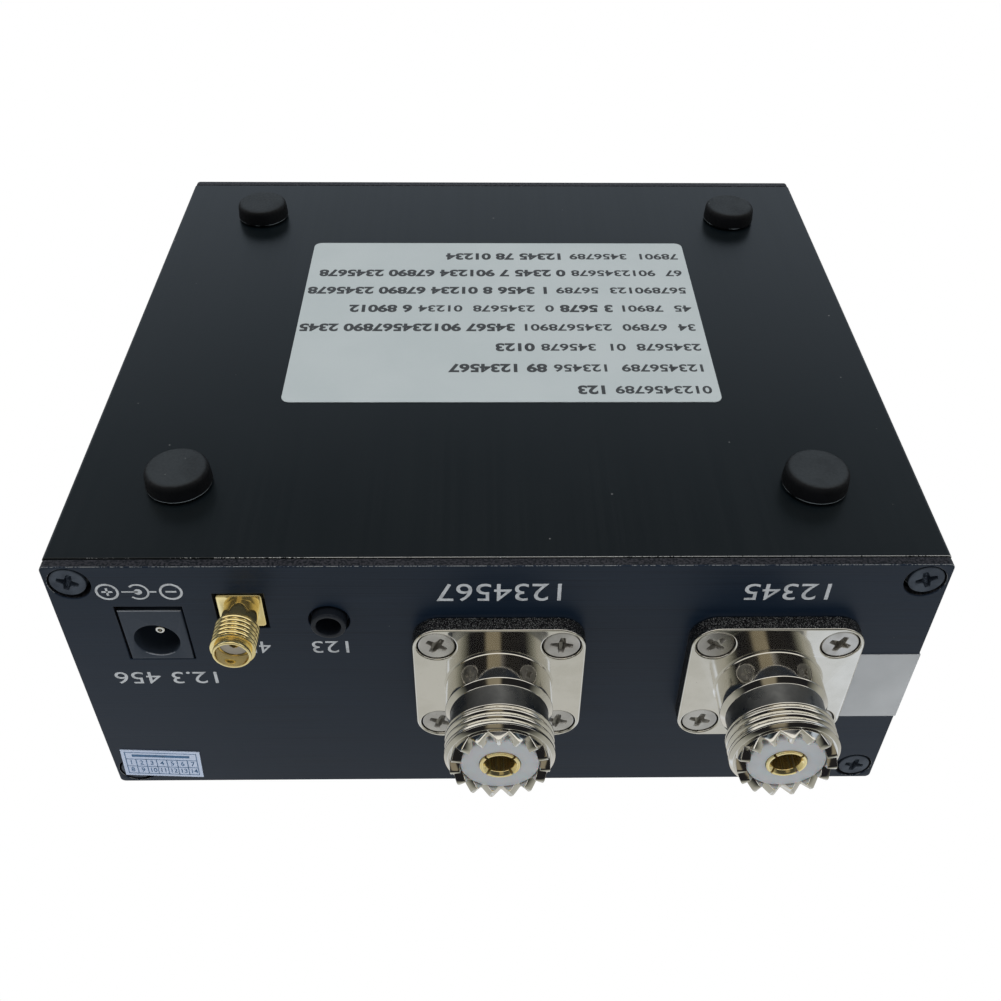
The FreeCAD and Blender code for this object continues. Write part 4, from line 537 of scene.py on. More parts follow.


# Defaults for the pale edge line, which is bare metal and a painted highlight.
WEAR_HIGHLIGHT_VALUES = {"At": 0.048283, "Width": 0.0002, "Broken": 0.5, "Fade": 0.0}
GROUPS = {
    "grain": shader_group("surface_grain", {"Size": 2500.0, "Mottle": 60.0}, grain_nodes),
    "brushed": shader_group("brushed_lines", {"Fineness": 1.0}, brushed_nodes),
    "dust": shader_group("dust_specks", {"Cells": 500.0, "Speck": 0.10, "Share": 0.2}, dust_nodes),
    "worn": shader_group("wear_highlight_line", WEAR_HIGHLIGHT_VALUES, wear_highlight_nodes),
}
print("shared effects:", sorted(GROUPS))


# %% Helpers for materials
class Finish:
    """A material under construction: its node tree, its shader and its Object coordinates."""

    def __init__(self, name, colour, roughness, metallic=0.0, **sockets):
        material = bpy.data.materials.new(name)
        material.use_nodes = True
        material.diffuse_color = (*colour, 1.0)
        self.tree = material.node_tree
        self.shader = self.tree.nodes["Principled BSDF"]
        self.place = wire(self.tree, "ShaderNodeTexCoord").outputs["Object"]
        values = {"Base Color": (*colour, 1.0), "Roughness": roughness, "Metallic": metallic}
        for key, value in {**values, **sockets}.items():
            self.shader.inputs[key.replace("_", " ")].default_value = value
        LOOKS[name] = material

    def effect(self, group, **values):
        """Places a shared effect and returns its outputs."""
        sources = [("Place", self.place), *values.items()]
        return wire(self.tree, "ShaderNodeGroup", sources, node_tree=GROUPS[group]).outputs

    def blend(self, mask, first, second):
        """A colour that goes from the first to the second where the mask rises."""
        return blended(self.tree, mask, first, second)

    def tones(self, value, low, high, first, second):
        """A colour that goes from the first to the second while a value goes from low to high."""
        return blended(self.tree, remapped(self.tree, value, low, high), first, second)

    def feed(self, key, source):
        """Drives one of the shader's own sockets."""
        self.tree.links.new(source, self.shader.inputs[key])

    def roughen(self, value, low, high):
        """Lets the roughness follow the middle of a noise's range."""
        self.feed("Roughness", remapped(self.tree, value, 0.3, 0.7, low, high))

    def bump(self, height, distance, strength):
        """Raises the surface by a height. The distance is in metres."""
        before = self.shader.inputs["Normal"].links
        sources = [("Height", height), ("Distance", distance), ("Strength", strength)]
        if before:
            sources.append(("Normal", before[0].from_socket))
        self.feed("Normal", wire(self.tree, "ShaderNodeBump", sources).outputs["Normal"])


# %% [markdown]
# ## Black metal
# The extrusion is anodised matt black with faint drawing lines along its length and a little
# bench dust. The end panels are brushed sideways before they are dyed, so they shine in a
# vertical smear. Where the shell meets the panel, a pale metallic line on the cut edges is bare
# metal and a painted highlight.

# %% Black extrusion, brushed panel and black screws
def drawn_black(name):
    """Anodised extrusion with its drawing lines, dust and a pale metallic line on its two cut edges
    that is bare metal and a painted highlight.
    """
    finish = Finish(name, (0.0050, 0.0058, 0.0070), 0.30, Specular_IOR_Level=0.5)
    tree = finish.tree
    grain = finish.effect("grain", Size=2600.0, Mottle=38.0)
    drawn = noise(tree, stretched(tree, finish.place, (1500.0, 9.0, 1500.0)), 1.0, 3.0)
    dust = finish.effect("dust", Cells=420.0, Speck=0.085, Share=0.10)
    # The pale metallic lines on the shell's two cut edges are partly bare metal and partly a
    # painted highlight.
    edges = [
        finish.effect("worn", At=at * MM, Width=0.00004, Broken=broken, Fade=0.2)["Worn"]
        for at, broken in ((SHELL_REAR - 0.25, 0.38), (SHELL_FRONT + 0.25, 0.42))
    ]
    worn = maths(tree, "MAXIMUM", *edges)
    tone = finish.blend(grain["Mottle"], (0.0018, 0.0036, 0.0048), (0.0036, 0.0056, 0.0070))
    dusty = finish.blend(dust["Specks"], tone, (0.10, 0.10, 0.10))
    finish.feed("Base Color", finish.blend(worn, dusty, (0.55, 0.56, 0.57)))
    rough = remapped(tree, drawn, 0.35, 0.65, 0.270, 0.290)
    finish.feed("Roughness", maths(tree, "MULTIPLY_ADD", grain["Mottle"], 0.05, rough))
    finish.feed("Metallic", maths(tree, "MULTIPLY", worn, 0.8))
    finish.bump(grain["Grain"], 0.000012, 0.5)
    finish.bump(drawn, 0.000002, 0.25)


def brushed_black(name, face, outward):
    """Brushed and dyed plate. Its round edges, which lie just behind the face, carry a pale
    metallic
    line here and there: bare metal and a painted edge highlight."""
    finish = Finish(name, (0.006, 0.011, 0.018), 0.36, Specular_IOR_Level=0.27)
    tree = finish.tree
    brushed = finish.effect("brushed")
    grain = finish.effect("grain", Size=3000.0, Mottle=30.0)
    dust = finish.effect("dust", Cells=450.0, Speck=0.08, Share=0.07)
    worn = finish.effect("worn", At=(face - outward * 0.06) * MM, Width=0.00004, Broken=0.45)
    x, y, z = parted(tree, finish.place)
    dark, light = (0.0018, 0.0058, 0.0140), (0.0082, 0.0150, 0.0275)
    lined = finish.tones(brushed["Lines"], 0.3, 0.7, dark, light)
    broad = finish.tones(brushed["Bands"], 0.35, 0.65, lined, (0.0052, 0.0112, 0.0220))
    dark, light = (0.004, 0.005, 0.007), (0.030, 0.029, 0.034)
    speckled = finish.tones(grain["Grain"], 0.40, 0.60, dark, light)
    behind_face = ((face - outward * depth) * MM for depth in (0.12, 0.20))
    sided = finish.tones(y, *behind_face, broad, speckled)
    across = maths(tree, "GREATER_THAN", maths(tree, "ABSOLUTE", x), (SIDE - 1.0) * MM)
    off_split = maths(tree, "ABSOLUTE", maths(tree, "SUBTRACT", z, SPLIT * MM))
    upright = maths(tree, "GREATER_THAN", off_split, ((TOP - BOTTOM) / 2 - 1.0) * MM)
    # Painted highlight with bare metal: a pale metallic line on the panel's side, top and bottom
    # edges.
    rubbed_and_highlight = maths(tree, "MULTIPLY", worn["Worn"], maths(tree, "MAXIMUM", across, upright))
    dusty = finish.blend(dust["Specks"], sided, (0.12, 0.12, 0.12))
    finish.feed("Base Color", finish.blend(rubbed_and_highlight, dusty, (0.24, 0.25, 0.26)))
    rough = remapped(tree, brushed["Lines"], 0.3, 0.7, 0.28, 0.42)
    finish.feed("Roughness", maths(tree, "MULTIPLY_ADD", grain["Mottle"], 0.06, rough))
    finish.feed("Metallic", maths(tree, "MULTIPLY", rubbed_and_highlight, 0.6))
    finish.bump(brushed["Lines"], 0.00002, 0.5)


def screw_black(name):
    """Blackened steel, blotchy and half metallic."""
    finish = Finish(name, (0.032, 0.038, 0.046), 0.42, 0.5)
    grain = finish.effect("grain", Size=5200.0, Mottle=420.0)
    dark, light = (0.024, 0.032, 0.047), (0.053, 0.065, 0.085)
    blotches = finish.tones(grain["Mottle"], 0.35, 0.7, dark, light)
    finish.feed("Base Color", blotches)
    finish.roughen(grain["Grain"], 0.28, 0.46)
    finish.bump(grain["Grain"], 0.00001, 0.5)


drawn_black("black_extrusion")
brushed_black("brushed_panel", REAR_FACE, 1)
brushed_black("brushed_front", FRONT_FACE, -1)
screw_black("black_screw")
print("black finishes:", len(LOOKS))

# %% [markdown]
# ## Plated metal
# Nickel and gold plate are metals: their colour is in the Base Color and the reflections do the
# rest. Turned faces keep very fine tool rings, and cast or sawn sides are rough and sparkle.

# %% Nickel, gold, tin and copper
def plated(name, colour, tint, roughness, grain_size, wear=0.0, metallic=1.0):
    """Polished plate with fine tool marks, a slight tint in patches and tiny pits. A metallic share
    below 1 stands for plate that is a little matt."""
    finish = Finish(name, colour, roughness, metallic)
    grain = finish.effect("grain", Size=grain_size, Mottle=260.0)
    pits = finish.effect("dust", Cells=1500.0, Speck=0.16, Share=0.10 + wear)
    tinted = finish.tones(grain["Mottle"], 0.35, 0.70, colour, tint)
    finish.feed("Base Color", finish.blend(pits["Specks"], tinted, tuple(0.35 * c for c in colour)))
    spread = remapped(finish.tree, grain["Mottle"], 0.3, 0.7, roughness * 0.75, roughness * 1.35)
    finish.feed("Roughness", maths(finish.tree, "MULTIPLY_ADD", pits["Specks"], 0.2, spread))
    finish.bump(grain["Grain"], 0.000003, 0.3)


def sanded(name, colour, dark):
    """Rough plate on sawn or cast metal: coarse bump, so that it sparkles between dark grains."""
    finish = Finish(name, colour, 0.42, 1.0)
    grain = finish.effect("grain", Size=9000.0, Mottle=6500.0)
    finish.feed("Base Color", finish.tones(grain["Mottle"], 0.53, 0.66, dark, colour))
    finish.roughen(grain["Grain"], 0.25, 0.55)
    finish.bump(grain["Mottle"], 0.00016, 0.9)
    finish.bump(grain["Grain"], 0.00005, 0.7)


def winding(name):
    """Enamelled wire in layers: a fine rib across the coil's height."""
    finish = Finish(name, (0.62, 0.20, 0.06), 0.28, 0.9, Coat_Weight=0.5)
    sources = [("Vector", finish.place), ("Scale", 900.0), ("Distortion", 0.4)]
    rib = wire(finish.tree, "ShaderNodeTexWave", sources, bands_direction="Z").outputs["Fac"]
    finish.feed("Base Color", finish.blend(rib, (0.30, 0.07, 0.02), (0.74, 0.28, 0.09)))
    finish.bump(rib, 0.00008, 0.8)


for row in (
    ("nickel", (0.84, 0.82, 0.775), (0.78, 0.76, 0.71), 0.088, 5200.0),
    ("nickel_neck", (0.36, 0.365, 0.36), (0.20, 0.205, 0.21), 0.30, 3200.0),
    ("nickel_screw", (0.66, 0.65, 0.64), (0.52, 0.51, 0.50), 0.30, 6500.0, 0.25),
    ("gold", (1.00, 0.86, 0.47), (0.99, 0.80, 0.37), 0.10, 5200.0, 0.0, 0.95),
    ("tin", (0.72, 0.72, 0.71), (0.58, 0.58, 0.58), 0.30, 4200.0),
    ("tinned_wire", (0.76, 0.76, 0.75), (0.62, 0.62, 0.62), 0.26, 4200.0),
    ("relay_iron", (0.56, 0.56, 0.57), (0.45, 0.45, 0.46), 0.34, 3200.0),
):
    plated(*row)
sanded("nickel_side", (0.56, 0.575, 0.60), (0.022, 0.024, 0.030))
winding("copper_winding")
print("finishes so far:", len(LOOKS))

# %% [markdown]
# ## Plastic, rubber and paper
# Moulded parts get a fine grain, rubber a coarser one with a lighter grey sole, dust flecks and a
# painted highlight under its rim, and the stuck-on labels a paper tone with a faint mottle.

# %% Plastics, rubber, labels and the board
def moulded(name, colour, lighter, roughness, size=2600.0, depth=0.000012, **sockets):
    """Plastic or paper with a fine grain and a lighter mottle."""
    finish = Finish(name, colour, roughness, **sockets)
    grain = finish.effect("grain", Size=size, Mottle=90.0)
    finish.feed("Base Color", finish.tones(grain["Mottle"], 0.3, 0.72, colour, lighter))
    finish.roughen(grain["Grain"], roughness * 0.85, roughness * 1.2)
    finish.bump(grain["Grain"], depth, 0.5)


DULL = {"Specular_IOR_Level": 0.26}
CLEAR = {"Coat_Weight": 0.6, "Subsurface_Weight": 0.3, "Subsurface_Scale": 0.001}
WAXY = {"Subsurface_Weight": 0.25, "Subsurface_Scale": 0.001}
for *row, settings in (
    ("black_plastic", (0.0088, 0.0108, 0.0152), (0.0122, 0.0148, 0.0205), 0.40, DULL),
    ("inlet_plastic", (0.022, 0.029, 0.041), (0.027, 0.034, 0.047), 0.40, DULL),
    # A lighter, glossier plastic that paints the highlight on the inlet's upper edge.
    ("inlet_edge_highlight", (0.13, 0.14, 0.16), (0.20, 0.21, 0.23), 0.20, {"Coat_Weight": 0.6}),
    ("button_plastic", (0.010, 0.010, 0.011), (0.016, 0.016, 0.017), 0.30, {}),
    ("chip_epoxy", (0.014, 0.014, 0.015), (0.024, 0.024, 0.025), 0.55, 2600.0, 0.00003, {}),
    ("bobbin", (0.55, 0.53, 0.46), (0.62, 0.60, 0.53), 0.45, {}),
    ("relay_cover", (0.020, 0.045, 0.110), (0.028, 0.058, 0.135), 0.38, {}),
    ("capacitor_sleeve", (0.012, 0.018, 0.050), (0.018, 0.026, 0.066), 0.30, {}),
    ("ptfe", (0.378, 0.387, 0.405), (0.428, 0.432, 0.441), 0.42, 1800.0, 0.00001, WAXY),
    ("small_ptfe", (0.34, 0.31, 0.27), (0.40, 0.37, 0.32), 0.45, 1800.0, 0.00001, {}),
    ("green_lamp", (0.03, 0.42, 0.09), (0.05, 0.50, 0.13), 0.16, CLEAR),
    ("red_lamp", (0.55, 0.025, 0.020), (0.63, 0.04, 0.03), 0.16, CLEAR),
    ("seal_label", (0.345, 0.350, 0.360), (0.415, 0.420, 0.430), 0.38, 3800.0, 0.000006, {}),
    ("spec_label", (0.423, 0.460, 0.465), (0.445, 0.479, 0.484), 0.48, 3200.0, 0.000008, {}),
    ("date_label", (0.423, 0.483, 0.624), (0.489, 0.543, 0.675), 0.50, 3200.0, 0.000006, {}),
):
    moulded(*row, **settings)


def rubber(name):
    """Black rubber that is dark on its sides and a lighter grey on the sole, which is the part
    nearest the ground, with dust flecks on the sole. A narrow band under the rim is a painted
    highlight.
    Slow noise breaks the edges of the grey sole and of the highlight."""
    finish = Finish(name, (0.0030, 0.0032, 0.0040), 0.62, Specular_IOR_Level=0.22)
    tree = finish.tree
    grain = finish.effect("grain", Size=2200.0, Mottle=240.0)
    dust = finish.effect("dust", Cells=900.0, Speck=0.11, Share=0.22)
    height = parted(tree, finish.place)["Z"]
    uneven = maths(tree, "MULTIPLY_ADD", grain["Mottle"], 0.0003, height)
    sole = remapped(tree, uneven, 0.00042, 0.00012)
    dark, light = (0.0020, 0.0022, 0.0028), (0.0038, 0.0041, 0.0050)
    side_tone = finish.tones(grain["Mottle"], 0.3, 0.7, dark, light)
    greyed = finish.tones(grain["Mottle"], 0.3, 0.7, (0.022, 0.025, 0.028), (0.034, 0.039, 0.043))
    grey_sole_and_rim_highlight = finish.blend(sole, side_tone, greyed)
    # Painted highlight: a pale band just under the foot's rim, broken up by noise.
    rim = remapped(tree, grain["Mottle"], 0.40, 0.52)
    for ends in ((0.00268, 0.00272), (0.00288, 0.00284)):
        rim = maths(tree, "MULTIPLY", rim, remapped(tree, height, *ends))
    grey_sole_and_rim_highlight = finish.blend(rim, grey_sole_and_rim_highlight, (0.16, 0.18, 0.19))
    flecks = maths(tree, "MULTIPLY", dust["Specks"], sole)
    finish.feed("Base Color", finish.blend(flecks, grey_sole_and_rim_highlight, (0.11, 0.12, 0.12)))
    finish.roughen(grain["Grain"], 0.50, 0.70)
    finish.bump(grain["Grain"], 0.00003, 0.5)
    finish.bump(grain["Mottle"], 0.00006, 0.3)


def board(name):
    """Green solder resist over copper: straight tracks show as slightly lighter, raised bands. The
    strip behind the rear panel turns near black as painted shade."""
    finish = Finish(name, (0.010, 0.075, 0.030), 0.30, Coat_Weight=0.4)
    sources = [("Vector", finish.place), ("Scale", 120.0), ("Mortar Size", 0.02)]
    for key, level in (("Color1", 0.0), ("Color2", 0.3), ("Mortar", 1.0)):
        sources.append((key, (level, level, level, 1.0)))
    tracks = wire(finish.tree, "ShaderNodeTexBrick", sources).outputs["Color"]
    mask = wire(finish.tree, "ShaderNodeSeparateColor", [("Color", tracks)]).outputs["Red"]
    green = finish.blend(mask, (0.008, 0.060, 0.024), (0.020, 0.130, 0.050))
    along = parted(finish.tree, finish.place)["Y"]
    # Painted shade: the board turns near black within 3 mm of the shell's rear end, behind the
    # panel.
    shaded_margin = ((SHELL_REAR - 3.2) * MM, (SHELL_REAR - 3.0) * MM)
    finish.feed("Base Color", finish.tones(along, *shaded_margin, green, (0.003, 0.004, 0.004)))
    finish.bump(mask, 0.00004, 0.6)


def ink(name, colour, roughness):
    """Printed ink, a little uneven in tone."""
    finish = Finish(name, colour, roughness)
    grain = finish.effect("grain", Size=6000.0, Mottle=900.0)
    darker = tuple(0.72 * c for c in colour)
    finish.feed("Base Color", finish.tones(grain["Mottle"], 0.30, 0.55, darker, colour))


rubber("rubber")
board("circuit_board")
ink("white_ink", (0.44, 0.45, 0.47), 0.5)
ink("label_ink", (0.045, 0.048, 0.052), 0.6)
ink("sticker_ink", (0.045, 0.115, 0.225), 0.55)
ink("sticker_dark", (0.020, 0.030, 0.055), 0.55)

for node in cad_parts.values():
    for holder in node.material_slots:
        holder.material = LOOKS[holder.material.name.split(".")[0]]
print("finishes:", len(LOOKS))

# %% [markdown]
# ## The split extrusion
# Each half is one closed profile pushed through a die: outer skin, board slots and screw ducts.
# It could be modelled face by face, but a profile with a thickness says the same in fewer words.
# The curve's small round edge gives the cut ends the thin glint that sawn aluminium has.

# %% Push the two shells
EDGE_RADIUS = 0.5
CUT_EDGE = 0.12
PANEL_GAP = 0.2
SEAM_CHAMFER = 0.25
WALL = 2.0
FLOOR = 1.6
TONGUE = (0.8, 1.2)
TONGUE_PLAY = 0.05
RIB_REACH = 2.0
RIB_LEVELS = (6.5, 8.3, 9.3)
SCREW_INSET = 3.2
DUCT_RADIUS = 2.8
DUCT_BORE = 1.25
inner_side = SIDE - WALL
half_height = SPLIT - BOTTOM


def arc(x, z, radius, start, stop, count=8):
    """Points along part of a circle, angles in degrees."""
    a = np.radians(np.linspace(start, stop, count))
    return round_points(x, 0, z, radius, 0, a)[:, [0, 2]]


def half_profile(has_tongue):
    """Right-hand half of the profile as (x, height above the outer face), from the middle of the
    outer face round to the middle of the inner face. The left-hand half is its mirror image."""
    duct_x, rib_tip = SIDE - SCREW_INSET, inner_side - RIB_REACH
    duct_start = 180 + math.degrees(math.asin((SCREW_INSET - FLOOR) / DUCT_RADIUS))
    duct_stop = 180 - math.degrees(math.acos((duct_x - rib_tip) / DUCT_RADIUS))
    step_x, step_z = inner_side + TONGUE[0], half_height + TONGUE[1]
    if not has_tongue:
        step_x, step_z = step_x + TONGUE_PLAY, half_height - TONGUE[1] - TONGUE_PLAY
    low, mid, high = RIB_LEVELS
    return np.concatenate([
        arc(SIDE - EDGE_RADIUS, EDGE_RADIUS, EDGE_RADIUS, -90, 0),
        [(SIDE, half_height - SEAM_CHAMFER), (SIDE - SEAM_CHAMFER, half_height)],
        [(step_x, half_height), (step_x, step_z), (inner_side, step_z)],
        [(inner_side, high), (rib_tip, high), (rib_tip, mid), (inner_side, mid)],
        [(inner_side, low), (rib_tip, low)],
        arc(duct_x, SCREW_INSET, DUCT_RADIUS, duct_stop, duct_start, 12),
    ])


def shell_loops(is_lower):
    """The whole profile and its two screw ducts, as (x, z) points."""
    right_half = half_profile(is_lower)
    loops = [np.concatenate([right_half, right_half[::-1] * (-1, 1)])]
    loops += [ring(DUCT_BORE, 20, side * (SIDE - SCREW_INSET), SCREW_INSET) for side in (-1, 1)]
    z_outer, sign = (BOTTOM, 1) if is_lower else (TOP, -1)
    return [loop * (1, sign) + (0, z_outer) for loop in loops]


for name, is_lower in (("bottom_shell", True), ("top_shell", False)):
    loops = shell_loops(is_lower)
    shell = upright_plate(loops, SHELL_FRONT + PANEL_GAP, SHELL_REAR - PANEL_GAP, CUT_EDGE)
    piece = add_piece(f"{name}_extrusion", [shell], "black_extrusion", [name])
    weigh_normals(piece)
print("shell faces:", made[-1][1])

# %% [markdown]
# ## End panels
# A panel is a plate with holes, so it is a flat outline with inner loops. A touch of roundness
# on its edge leaves a fine groove against the shell, which is what makes the seam visible.

# %% Cut the two panels
PANEL_CORNER = 0.8
PANEL_EDGE = 0.14
CORNER_HEAD = 2.54
CORNER_HOLE = 2.95
HOLE_DRIFT = (0.20, 0.12)
CORNER_SETBACK = 0.17
HEAD_CLEARANCE = 0.15
SOCKET_HOLE = 7.9
RECEIVER_HOLE = 7.2
JACK_HOLE = 2.95
BUTTON_HOLE = 3.8
LAMP_HOLE = 1.6
SOCKETS = {name: middle(f"{name}_socket_contact")[0] for name in ("antenna", "radio")}
SOCKET_Z = middle("antenna_socket_contact")[2]
RECEIVER_X, RECEIVER_Z = middle("receiver_socket_insulator")[[0, 2]]
JACK_X, JACK_Z = middle("keying_jack_body")[0], BOARD_TOP + 2.8
INLET_X, INLET_Z = middle("supply_inlet_body")[0], BOARD_TOP + 7.1
INLET_SIZE = (9.0, 11.0)
INLET_HOLE_GAP = (0.6, 0.38)
INLET_SHIFT = 0.1
BUTTON_X, BUTTON_Z = middle("power_button_cap")[[0, 2]]
LAMPS_AT = {name: middle(name)[[0, 2]] for name in ("power_led", "transmit_led")}

inlet_x, inlet_middle = INLET_X + INLET_SHIFT, BOARD_TOP + INLET_SIZE[1] / 2
corner_x, corner_levels = SIDE - SCREW_INSET, (BOTTOM + SCREW_INSET, TOP - SCREW_INSET)
corners = [(i * corner_x, z) for z in corner_levels for i in (-1, 1)]
shared_loops = [rounded_rectangle(-SIDE, SIDE, BOTTOM, TOP, PANEL_CORNER)]
for x, z in corners:
    towards = np.array([-np.sign(x), np.sign(SPLIT - z)]) * HOLE_DRIFT
    shared_loops.append(ring(CORNER_HOLE, 40, x + towards[0], z + towards[1]))
rear_loops = shared_loops + [ring(SOCKET_HOLE, 64, x, SOCKET_Z) for x in SOCKETS.values()]
rear_loops.append(box_loop(inlet_x, inlet_middle, *np.add(INLET_SIZE, INLET_HOLE_GAP)))
rear_loops.append(box_loop(RECEIVER_X, RECEIVER_Z, RECEIVER_HOLE, RECEIVER_HOLE))
rear_loops.append(ring(JACK_HOLE, 48, JACK_X, JACK_Z))
front_loops = shared_loops + [ring(BUTTON_HOLE, 56, BUTTON_X, BUTTON_Z)]
front_loops += [ring(LAMP_HOLE, 32, x, z) for x, z in LAMPS_AT.values()]
for name, loops, low, high, look in (
    ("rear_panel", rear_loops, SHELL_REAR, REAR_FACE, "brushed_panel"),
    ("front_panel", front_loops, FRONT_FACE, SHELL_FRONT, "brushed_front"),
):
    plate = upright_plate(loops, low, high, PANEL_EDGE)
    weigh_normals(add_piece(f"{name}_plate", [plate], look, [name]))
print("holes in the rear panel:", len(rear_loops) - 1)

# %% [markdown]
# ## Cross-head screws
# A screw head is a height over a disc, so a polar grid fits it: rings from the middle outwards and
# spokes round it. The recess is two crossed slots that get shallower towards their tips. Below
# the head the same grid simply goes on as cone and shank.

# %% Turn the screws
RECESS_WIDTH = 0.92
RECESS_SHARE = 0.60
RECESS_DEPTH = 1.3
RECESS_SLOPE = 0.16
HEAD_RIM = 0.18
HEAD_EDGE = 0.42
SCREW_LENGTH = 9.0
CORNER_SHANK = 1.24
CORNER_TURNS = (20, 70, 45, 10)


def ramp_up(value, low, high):
    """A smooth step from 0 at low to 1 at high."""
    s = np.clip((value - low) / (high - low), 0, 1)
    return s * s * (3 - 2 * s)


def cross_depth(u, v, head):
    """Depth of a cross recess at (u, v). Each wing is a slot of width w and reach R that narrows a
    little outwards; its wall slopes over a short distance, and its floor rises from the middle
    as 1 - 0.62 |u| / R."""
    reach_out = RECESS_SHARE * head

    def wing(along, across):
        half = RECESS_WIDTH / 2 * (1.30 - 0.55 * np.abs(along) / reach_out)
        inside = np.minimum(half - np.abs(across), reach_out - np.abs(along))
        rise = 0.62 * np.clip(np.abs(along) / reach_out, 0, 1)
        return ramp_up(inside, 0, RECESS_SLOPE) * (1 - rise)

    return RECESS_DEPTH * np.maximum(wing(u, v), wing(v, u))


def screw_part(x, y, z, head, shank, turn, outward=1, rings=34, spokes=112):
    """A countersunk screw along Y with its head's face at y. Row i has radius r_i; the face rows
    also dip by the recess and by a rounded rim."""
    face = np.linspace(0, head, rings)
    fall = np.clip((face - head + HEAD_RIM) / HEAD_RIM, 0, 1)
    drop = HEAD_RIM * (1 - np.sqrt(1 - fall**2))
    below = [(head, HEAD_EDGE), (shank, HEAD_EDGE + head - shank)]
    below += [(shank, SCREW_LENGTH), (0, SCREW_LENGTH)]
    radius, depth = np.concatenate([np.column_stack([face, drop]), below]).T[:, :, None]
    a = full_turn(spokes)
    twist = a - math.radians(turn)
    recess = cross_depth(radius * np.cos(twist), radius * np.sin(twist), head)
    recess[rings:] = 0
    points = round_points(x, y, z, radius, -outward * (depth + recess), a)
    return points, grid_faces(len(radius), spokes)


for end, face, outward in (("rear", REAR_FACE, 1), ("front", FRONT_FACE, -1)):
    y = face - outward * CORNER_SETBACK
    parts = [
        screw_part(x, y, z, CORNER_HEAD, CORNER_SHANK, turn, outward)
        for (x, z), turn in zip(corners, CORNER_TURNS)
    ]
    name = f"{end}_panel_screws"
    add_piece(f"{name}_cut", parts, "black_screw", [name])
print("faces in four screws:", made[-1][1])

# %% [markdown]
# ## Coaxial chassis sockets
# The barrel is one turned part, so its radius is a function of the angle and of the distance out.
# The thread is a groove whose phase grows with the distance and falls with the angle, which makes
# a true helix. The crown's teeth move the end of the barrel in and out as the angle goes round.

# %% The shared groove and the barrel
FLANGE = 24.9
FLANGE_THICKNESS = 2.6
BARREL = 7.8
BARREL_ROOT = 7.5
COLLAR_END = 7.9
COLLAR_CHAMFER = 0.7
THREAD_START = 11.7
THREAD_PITCH = 25.4 / 24
THREAD_DEPTH = 0.5
THREAD_END = 15.034
RUN_IN = 0.4
NOSE_CHAMFER = 0.5
CROWN = 7.0
CROWN_TEETH = 15
CROWN_RIM = 0.10
TOOTH = 1.55
TIP_SHARE = 0.12
BORE = 5.6


def groove(along, angle, pitch):
    """Share of the full thread depth, from 0 on a crest to 1 in a root. The phase is along / pitch
    less the turn's share of the angle, and the power 1.8 of its distance from the crest makes
    crests like beads with narrow roots between them."""
    phase = np.mod(along / pitch - angle / (2 * np.pi), 1)
    return (1 - np.abs(2 * phase - 1)) ** 1.8


def threaded_part(x, z, a, bands, start, depth, pitch, crown_height=0.0):
    """A closed profile carried round, given in bands of rows. A row holds a radius r, a distance
    out t, a share of the thread and a share of the crown, and shares left out are 0. Point (i, j)
    has radius r - depth share groove and distance out t + crown share tooth height(a)."""
    rows = np.concatenate([np.pad(band, ((0, 0), (0, 4 - band.shape[1]))) for band in bands])
    radius, out, share, crown = rows.T[:, :, None]
    cut_radius = radius - depth * share * groove(out - start, a, pitch)
    points = round_points(x, REAR_FACE, z, cut_radius, out + crown * crown_height, a)
    return points, grid_faces(len(rows), len(a), wrap_rows=True)


def barrel_part(x, turn):
    """A large socket's barrel from its root behind the panel to the crown's teeth."""
    a = full_turn(CROWN_TEETH * 12)
    nose, run = THREAD_END + NOSE_CHAMFER, THREAD_START - RUN_IN
    tooth_place = (a - np.radians(turn)) * CROWN_TEETH / (2 * np.pi)
    off_tip = 2 * np.abs(tooth_place - np.round(tooth_place))
    crown_height = TOOTH * (1 - 0.93 * np.clip((off_tip - TIP_SHARE) / (1 - TIP_SHARE), 0, 1))
    low = [(BORE, -4.0), (BARREL_ROOT, -4.0), (BARREL_ROOT, 1.35)]
    low += [(BARREL + 0.3, 1.35), (BARREL + 0.3, FLANGE_THICKNESS)]
    low += [(BARREL, FLANGE_THICKNESS + 0.22), (BARREL, COLLAR_END - COLLAR_CHAMFER)]
    low += [(BARREL - COLLAR_CHAMFER, COLLAR_END), (BARREL - COLLAR_CHAMFER, run)]
    low = eased(low, [0.01, 0.1, 0.01, 0.01, 0.02, 0.25, 0.09, 0.07, 0.15])
    cut = np.linspace(run, THREAD_END, 76)
    cut_radius = BARREL - COLLAR_CHAMFER * (1 - np.clip((cut - run) / RUN_IN, 0, 1))
    cut_share = ramp_up(cut, THREAD_START, THREAD_START + 0.45)
    cut_share *= 1 - ramp_up(cut, THREAD_END - 0.42, THREAD_END)
    end = [(BARREL, THREAD_END - 0.3), (BARREL, THREAD_END)]
    end += [(BARREL - NOSE_CHAMFER, nose), (CROWN, nose)]
    end = eased(end, [0, 0.08, 0.08, 0])[4:-4]
    rim, corner = CROWN_RIM, 0.3 * CROWN_RIM
    crown = [(CROWN, nose, 0, 0), (CROWN, nose, 0, 0.5), (CROWN, nose - rim, 0, 1)]
    crown += [(CROWN - corner, nose - corner, 0, 1), (CROWN - rim, nose, 0, 1)]
    crown += [(BORE + rim, nose, 0, 1), (BORE + corner, nose - corner, 0, 1)]
    crown += [(BORE, nose - rim, 0, 1), (BORE, nose, 0, 0.5), (BORE, nose, 0, 0)]
    crown.append((BORE, nose - 2, 0, 0))
    bands = low, np.column_stack([cut_radius, cut, cut_share]), end, np.array(crown)
    thread = THREAD_START, THREAD_DEPTH, THREAD_PITCH
    return threaded_part(x, SOCKET_Z, a, bands, *thread, crown_height)


